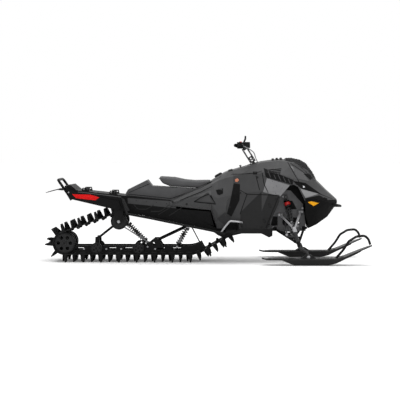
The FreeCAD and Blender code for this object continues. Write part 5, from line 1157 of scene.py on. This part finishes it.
# %% Set the dark inserts and the vents
side_skin = "hood side_panel_right side_accents console headlamps intake_screens"
inserts = [
    inlaid(side_skin, [(263.7, 168.0), (293.7, 180.0), (292.5, 184.7), (265.8, 177.0)]),
    inlaid(side_skin, [(293.0, 180.8), (305.8, 183.0), (321.7, 194.2), (301.7, 188.7)]),
    inlaid(side_skin, [(304.2, 174.2), (310.0, 173.7), (314.8, 178.0), (311.0, 180.0)]),
    inlaid(side_skin, [(253.0, 171.6), (257.2, 171.6), (257.2, 174.4), (253.0, 174.4)]),
    inlaid(side_skin, [(216.0, 190.2), (223.0, 188.5), (223.0, 192.5), (217.5, 194.3)]),
    inlaid(side_skin, [(304.6, 198.4), (319.5, 195.6), (337.0, 202.0), (306.0, 201.2)]),
    inlaid(side_skin + " console_liners belly_pan running_board_right foot_pads",
           [(228.0, 223.0), (239.0, 222.5), (239.0, 230.5), (222.5, 229.5)]),
]
piece("panel_inserts", mirrored(joined(*inserts)), "dark_plastic", deep_black)
pane = inlaid(side_skin, [(290.5, 165.5), (304.0, 172.8), (309.5, 181.5), (298.5, 178.8)])
piece("nose_panes", mirrored(pane), "dark_plastic", smoked)
# Painted shade: two deep black plates on the footwell's edge, where the recess beside the console falls dark.
gaps = [inlaid(side_skin + " console_liners", pixels) for pixels in (
    [(233.7, 183.3), (240.0, 184.2), (239.5, 200.0), (230.5, 200.0)],
    [(230.5, 200.0), (239.5, 200.0), (231.5, 216.5), (227.0, 213.5)])]
piece("footwell_painted_shade", mirrored(joined(*gaps)), "dark_plastic", deep_black)
vanes = [side_bead(side_skin, seen_at(line), 0.011, 0.0045) for line in
         ([(268, 170.8), (270.5, 177.5)], [(273, 172.8), (275.8, 179)], [(278, 174.8), (280.8, 180.6)],
          [(283, 176.8), (285.8, 182.2)], [(288, 178.8), (290.2, 183.5)])]
piece("vent_vanes", mirrored(joined(*vanes)), "dark_plastic", side_grey)
print("inserts:", len(inserts), "vanes:", len(vanes))

# %% Run the seals along the panel gaps
seal_lines = [
    [(231, 175), (255, 173), (262, 171)],
    [(262, 171), (264, 184), (268, 192.5)],
    [(288.5, 162.5), (295, 175), (301, 185)],
    [(291, 163.5), (301, 170), (311, 178)],
    [(311, 188), (320, 194), (334, 199.5)],
    [(170, 200.5), (200, 188.5), (212, 182), (220, 177.5), (223, 173)],
    [(180, 200.5), (201, 192), (212, 186.5)],
    [(194, 202), (208, 192.8), (216, 204.3), (194, 202)],
    [(211, 195.5), (215, 204)],
    [(240, 190), (247, 194), (279, 195)],
    [(247, 194), (240, 214)],
    [(279, 195), (272, 212), (266, 228)],
    [(256, 175.5), (258, 184), (259.5, 190)],
]
seal_width = 0.0080
seal_rise = 0.0008
seals = [side_bead(side_skin, seen_at(line), seal_width, seal_rise) for line in seal_lines]
piece("panel_seals", mirrored(joined(*seals)), "dark_plastic", deep_black)
base_lines = ([(127.5, 194.0), (171, 198.5), (194, 190.5)], [(129, 192.5), (150, 183.5), (176, 186)])
base_seals = [side_bead("seat_base", seen_at(line, -0.12), 0.0055, 0.0010)
              for line in base_lines]
piece("base_seals", mirrored(joined(*base_seals)), "dark_plastic", deep_black)
print("seals:", len(seal_lines))

# %% [markdown]
# Behind the arches and the vents the photograph is black, not see-through: thin liners close the bay
# between the engine and the arms, and their deep black is painted shade for the dark inside of the bay.
# One outline per side is enough, a plate with a folded rim.

# %% Close the bay behind the arms
bay_outline = np.array([
    (0.600, 0.368), (0.560, 0.900), (0.610, 0.955), (0.720, 0.965), (0.880, 0.925), (0.985, 0.840),
    (1.030, 0.740), (1.010, 0.620), (0.950, 0.560), (0.930, 0.430), (0.900, 0.368)])
bay_middle = bay_outline.mean(axis=0)
bay_rings = []
for share, y in ((0.985, -0.096), (1.0, -0.094), (1.0, -0.102), (0.985, -0.104), (0.95, -0.104)):
    ring = bay_middle + share * (bay_outline - bay_middle)
    bay_rings.append(np.column_stack([ring[:, 0], np.full(len(ring), y), ring[:, 1]]))
# Partly a real liner and partly painted shade: its deep black stands for the shaded inside of the bay.
piece("bay_liners_painted_shade", mirrored(shell(bay_rings)), "dark_plastic", deep_black)
print("bay outline corners:", len(bay_outline))

# %% Knob, key and fuel cap
knob_profile = [(0.013, -0.002), (0.013, 0.003), (0.006, 0.004), (0.006, 0.010), (0.012, 0.012),
                (0.012, 0.019), (0.009, 0.021)]
key_profile = [(0.017, -0.002), (0.017, 0.004), (0.014, 0.0055), (0.010, 0.0035), (0.004, 0.0035)]
fuel_profile = [(0.040, -0.004), (0.040, 0.006), (0.036, 0.014), (0.030, 0.016), (0.010, 0.017)]
fuel_sides = 60
knurls = 15
knurl_wave = np.cos(np.arange(fuel_sides) * (2 * math.pi * knurls / fuel_sides))
knurl = 1 + 0.035 * np.tile(knurl_wave, len(fuel_profile))
fuel_points, fuel_faces = turned(fuel_profile, sides=fuel_sides)
fuel_points = fuel_points * np.stack([knurl, knurl, np.ones(len(knurl))], axis=-1)
top_parts = (
    ("choke_knob", turned(knob_profile, sides=20), "hood", (0.338, -0.030), None),
    ("key_switch", turned(key_profile, sides=24), "console", (0.175, 0.065), finishes["silver_metal"]),
    ("fuel_cap", (fuel_points, fuel_faces), "console", (0.115, 0.0), None),
)
for name, shape, names, spot, material in top_parts:
    piece(name, on_top(shape, names, [spot]), "dark_plastic", material)
trim_spots = [(0.235, -0.070), (0.235, 0.070)]
trims = on_top(block(0.050, 0.060, 0.010, 0.8), "console", trim_spots, guide=(0, 1, 0))
piece("console_trims", trims, "dark_plastic")
print("knurls on the cap:", knurls)

# %% Column bezel and spot lamps
column_axis = np.array([-0.530, 0, 0.848])
column_ahead = np.array([0.848, 0, 0.530])
column_foot = np.array([0.463, 0])
bezel_radius = 0.0545
bezel_turn = np.linspace(0, 2 * math.pi, 48, endpoint=False)
bezel_spokes = np.stack([np.cos(bezel_turn), np.sin(bezel_turn)], axis=-1)
bezel_xy = column_foot + bezel_radius * bezel_spokes
bezel_z = np.interp(bezel_xy[:, 0], [0.340, 0.420, 0.580, 0.660], [0.951, 0.971, 1.014, 1.025])
bezel_places = np.column_stack([bezel_xy, bezel_z])
bezel_section = circle(0.0050, 8)
bezel_out = np.column_stack([bezel_spokes, np.zeros(len(bezel_turn))])[:, None]
bezel_lift = bezel_section[None, :, 1:] * np.array([0, 0, 1])
bezel_rings = bezel_places[:, None] + bezel_section[None, :, :1] * bezel_out + bezel_lift
piece("column_bezel", shell(bezel_rings, closed=True), "dark_plastic")
spot_at = landed("intake_screens", from_side([(0.956, 0.756)]), sideward)
spot_lens = turned([
    (0.0105, -0.004), (0.0105, 0.002), (0.0085, 0.0042), (0.0050, 0.0056), (0.0015, 0.0060)], sides=20)
spot_rim = turned([
    (0.0105, 0.001), (0.0140, 0.001), (0.0140, 0.004), (0.0105, 0.0045)], sides=24, closed=True)
piece("spot_lamps", mirrored(studded(spot_lens, *spot_at)), "lamp_lens", clear_lens)
piece("spot_rims", mirrored(studded(spot_rim, *spot_at)), "silver_plastic")
print("bezel radius", bezel_radius * 1000, "mm")

# %% [markdown]
# ## The honeycomb of the wind deflector
# The low shield on the nose is not glass: it is a dark grille of six-sided cells that lets the snow dust
# through. We lay one small hexagonal wall at each knot of a triangular lattice, and a ray puts every
# wall on the shield's facets.

# %% Lay the honeycomb
cell_step = 0.0150
cell_wall = 0.0017
cell_rise = 0.0022
shield_start = 0.796
shield_end = 1.075
shield_margin = 0.012


def hexagon_wall(radius, wall, rise):
    """A six-sided ring: its outer and its inner wall, each from the foot to the top."""
    profile = [(radius, -0.001), (radius, rise), (radius - wall, rise), (radius - wall, -0.001)]
    return turned(profile, sides=6, closed=True)


cell_u, cell_v = np.meshgrid(np.arange(-12, 13), np.arange(0, 22), indexing="ij")
cell_y = (cell_u + 0.5 * (cell_v % 2)) * cell_step
cell_x = shield_start + cell_v * cell_step * math.sqrt(3) / 2
shield_x = [0.780, 0.842, 0.932, 0.993, 1.053, 1.089]
shield_half = np.interp(cell_x, shield_x, [0.075, 0.099, 0.135, 0.150, 0.144, 0.108]) - shield_margin
inside = (np.abs(cell_y) < shield_half) & (cell_x < shield_end)
cell_at = landed("windshield", from_top(np.stack([cell_x[inside], cell_y[inside]], axis=-1)), downward)
cells = studded(hexagon_wall(cell_step * 0.56, cell_wall, cell_rise), *cell_at, guide=(1, 0, 0))
piece("shield_honeycomb", cells, "shield_plastic", side_grey)
crest_spots = [(x, y) for x in (0.66, 0.70, 0.74) for y in (-0.05, 0, 0.05)]
crests = on_top(block(0.024, 0.036, 0.010, 0.75), "hood windshield", crest_spots, guide=(0, 1, 0))
piece("crest_blocks", crests, "dark_plastic")
print("honeycomb cells:", int(inside.sum()))

# %% [markdown]
# ## Handlebar and controls
# The hands' end of the machine is small but busy: switches, grip rings and clamp bolts. All of it turns
# with the bar, so every piece rides on the steering body.

# %% Dress the bar
bar_end = np.array([0.289, -0.370, 1.165])
bar_bend = np.array([0.337, -0.203, 1.165])
bar_inward = unit(bar_bend - bar_end)
grip_along = np.linspace(0.014, 0.108, 15)[:, None]
grip_ring = turned([(0.0155, -0.0016), (0.0182, -0.0008), (0.0182, 0.0008), (0.0155, 0.0016)], sides=24)
grip_rings = studded(grip_ring, bar_end + grip_along * bar_inward, bar_inward)
piece("grip_rings", mirrored(grip_rings), "grip_rubber", body="steering")
button = turned([(0.0085, -0.006), (0.0085, 0.0045), (0.0065, 0.0060), (0.0020, 0.0064)], sides=18)
stop_at = landed("hand_controls", from_top([(0.338, -0.222)]), downward)
piece("stop_button", studded(button, *stop_at), "dark_plastic", red_paint, body="steering")
switch_at = landed("hand_controls", from_top([(0.334, 0.222), (0.326, 0.246)]), downward)
switches = studded(button, *switch_at)
piece("switch_buttons", switches, "dark_plastic", finishes["grey_plastic"], body="steering")
riser_top = np.array([0.374, 0, 1.1405])
riser_side = np.array([0, -0.0172, 0])
riser_steps = ((0.020, -0.019), (0.020, 0.019), (0.075, 0.021), (0.140, -0.019), (0.140, 0.019))
riser_spots = [riser_top - column_axis * drop + column_ahead * forward + riser_side
               for drop, forward in riser_steps]
riser_bolts = studded(hexagon_bolt(0.0045), riser_spots, (0, -1, 0))
piece("riser_bolts", mirrored(riser_bolts), "silver_metal", body="steering")
pod_low, pod_high = (np.array(corner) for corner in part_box("instrument_pod"))
pod_start = (pod_low + pod_high) / 2 - np.array([0.4, 0, 0])
screen_at = landed("instrument_pod", [pod_start], (1, 0, 0))
screen = studded(block(0.046, 0.070, 0.0022, 0.97), *screen_at, guide=(0, 1, 0))
piece("pod_screen", screen, "dark_plastic", dark_glass, body="steering")
print("grip rings:", 2 * len(grip_along))

# %% [markdown]
# ## Front suspension and skis
# Silver fasteners mark every joint of the front end. The skis have shallow ribs that stiffen them and a
# row of bolts that hold the steel runner from above.

# %% Bolt the front end together
frame_spots = [(0.660, 0.345), (0.690, 0.560), (0.760, 0.655), (0.820, 0.600), (0.905, 0.360), (0.955, 0.540)]
frame_bolts = on_side(hexagon_bolt(0.0080), "front_frame", frame_spots)
piece("frame_bolts", mirrored(frame_bolts), "silver_metal")
stance = 0.455
saddle_half = 0.046
rib_x = (0.600, 0.800, 1.000, 1.200, 1.330)
for side, middle in (("right", -stance), ("left", stance)):
    saddle = joined(*[studded(hexagon_bolt(0.0125), [(0.990, middle + way * saddle_half, 0.082)], (0, way, 0))
                      for way in (-1, 1)])
    runner_spots = from_top([(x, middle) for x in (0.640, 0.760, 0.880, 1.110, 1.200)])
    ski_bolts = studded(hexagon_bolt(0.0070), *landed("ski_" + side, runner_spots, downward))
    piece("ski_bolts_" + side, joined(saddle, ski_bolts), "silver_metal", body="runner_" + side)
    rib_lines = [from_top([(x, middle + off) for x in rib_x]) for off in (-0.066, -0.048, 0.048, 0.066)]
    ski_ribs = [bead_on("ski_" + side, line, downward, 0.0075, 0.0028, 0.04) for line in rib_lines]
    piece("ski_ribs_" + side, joined(*ski_ribs), "ski_plastic", body="runner_" + side)
print("bolts in the front frame:", 2 * len(frame_spots))
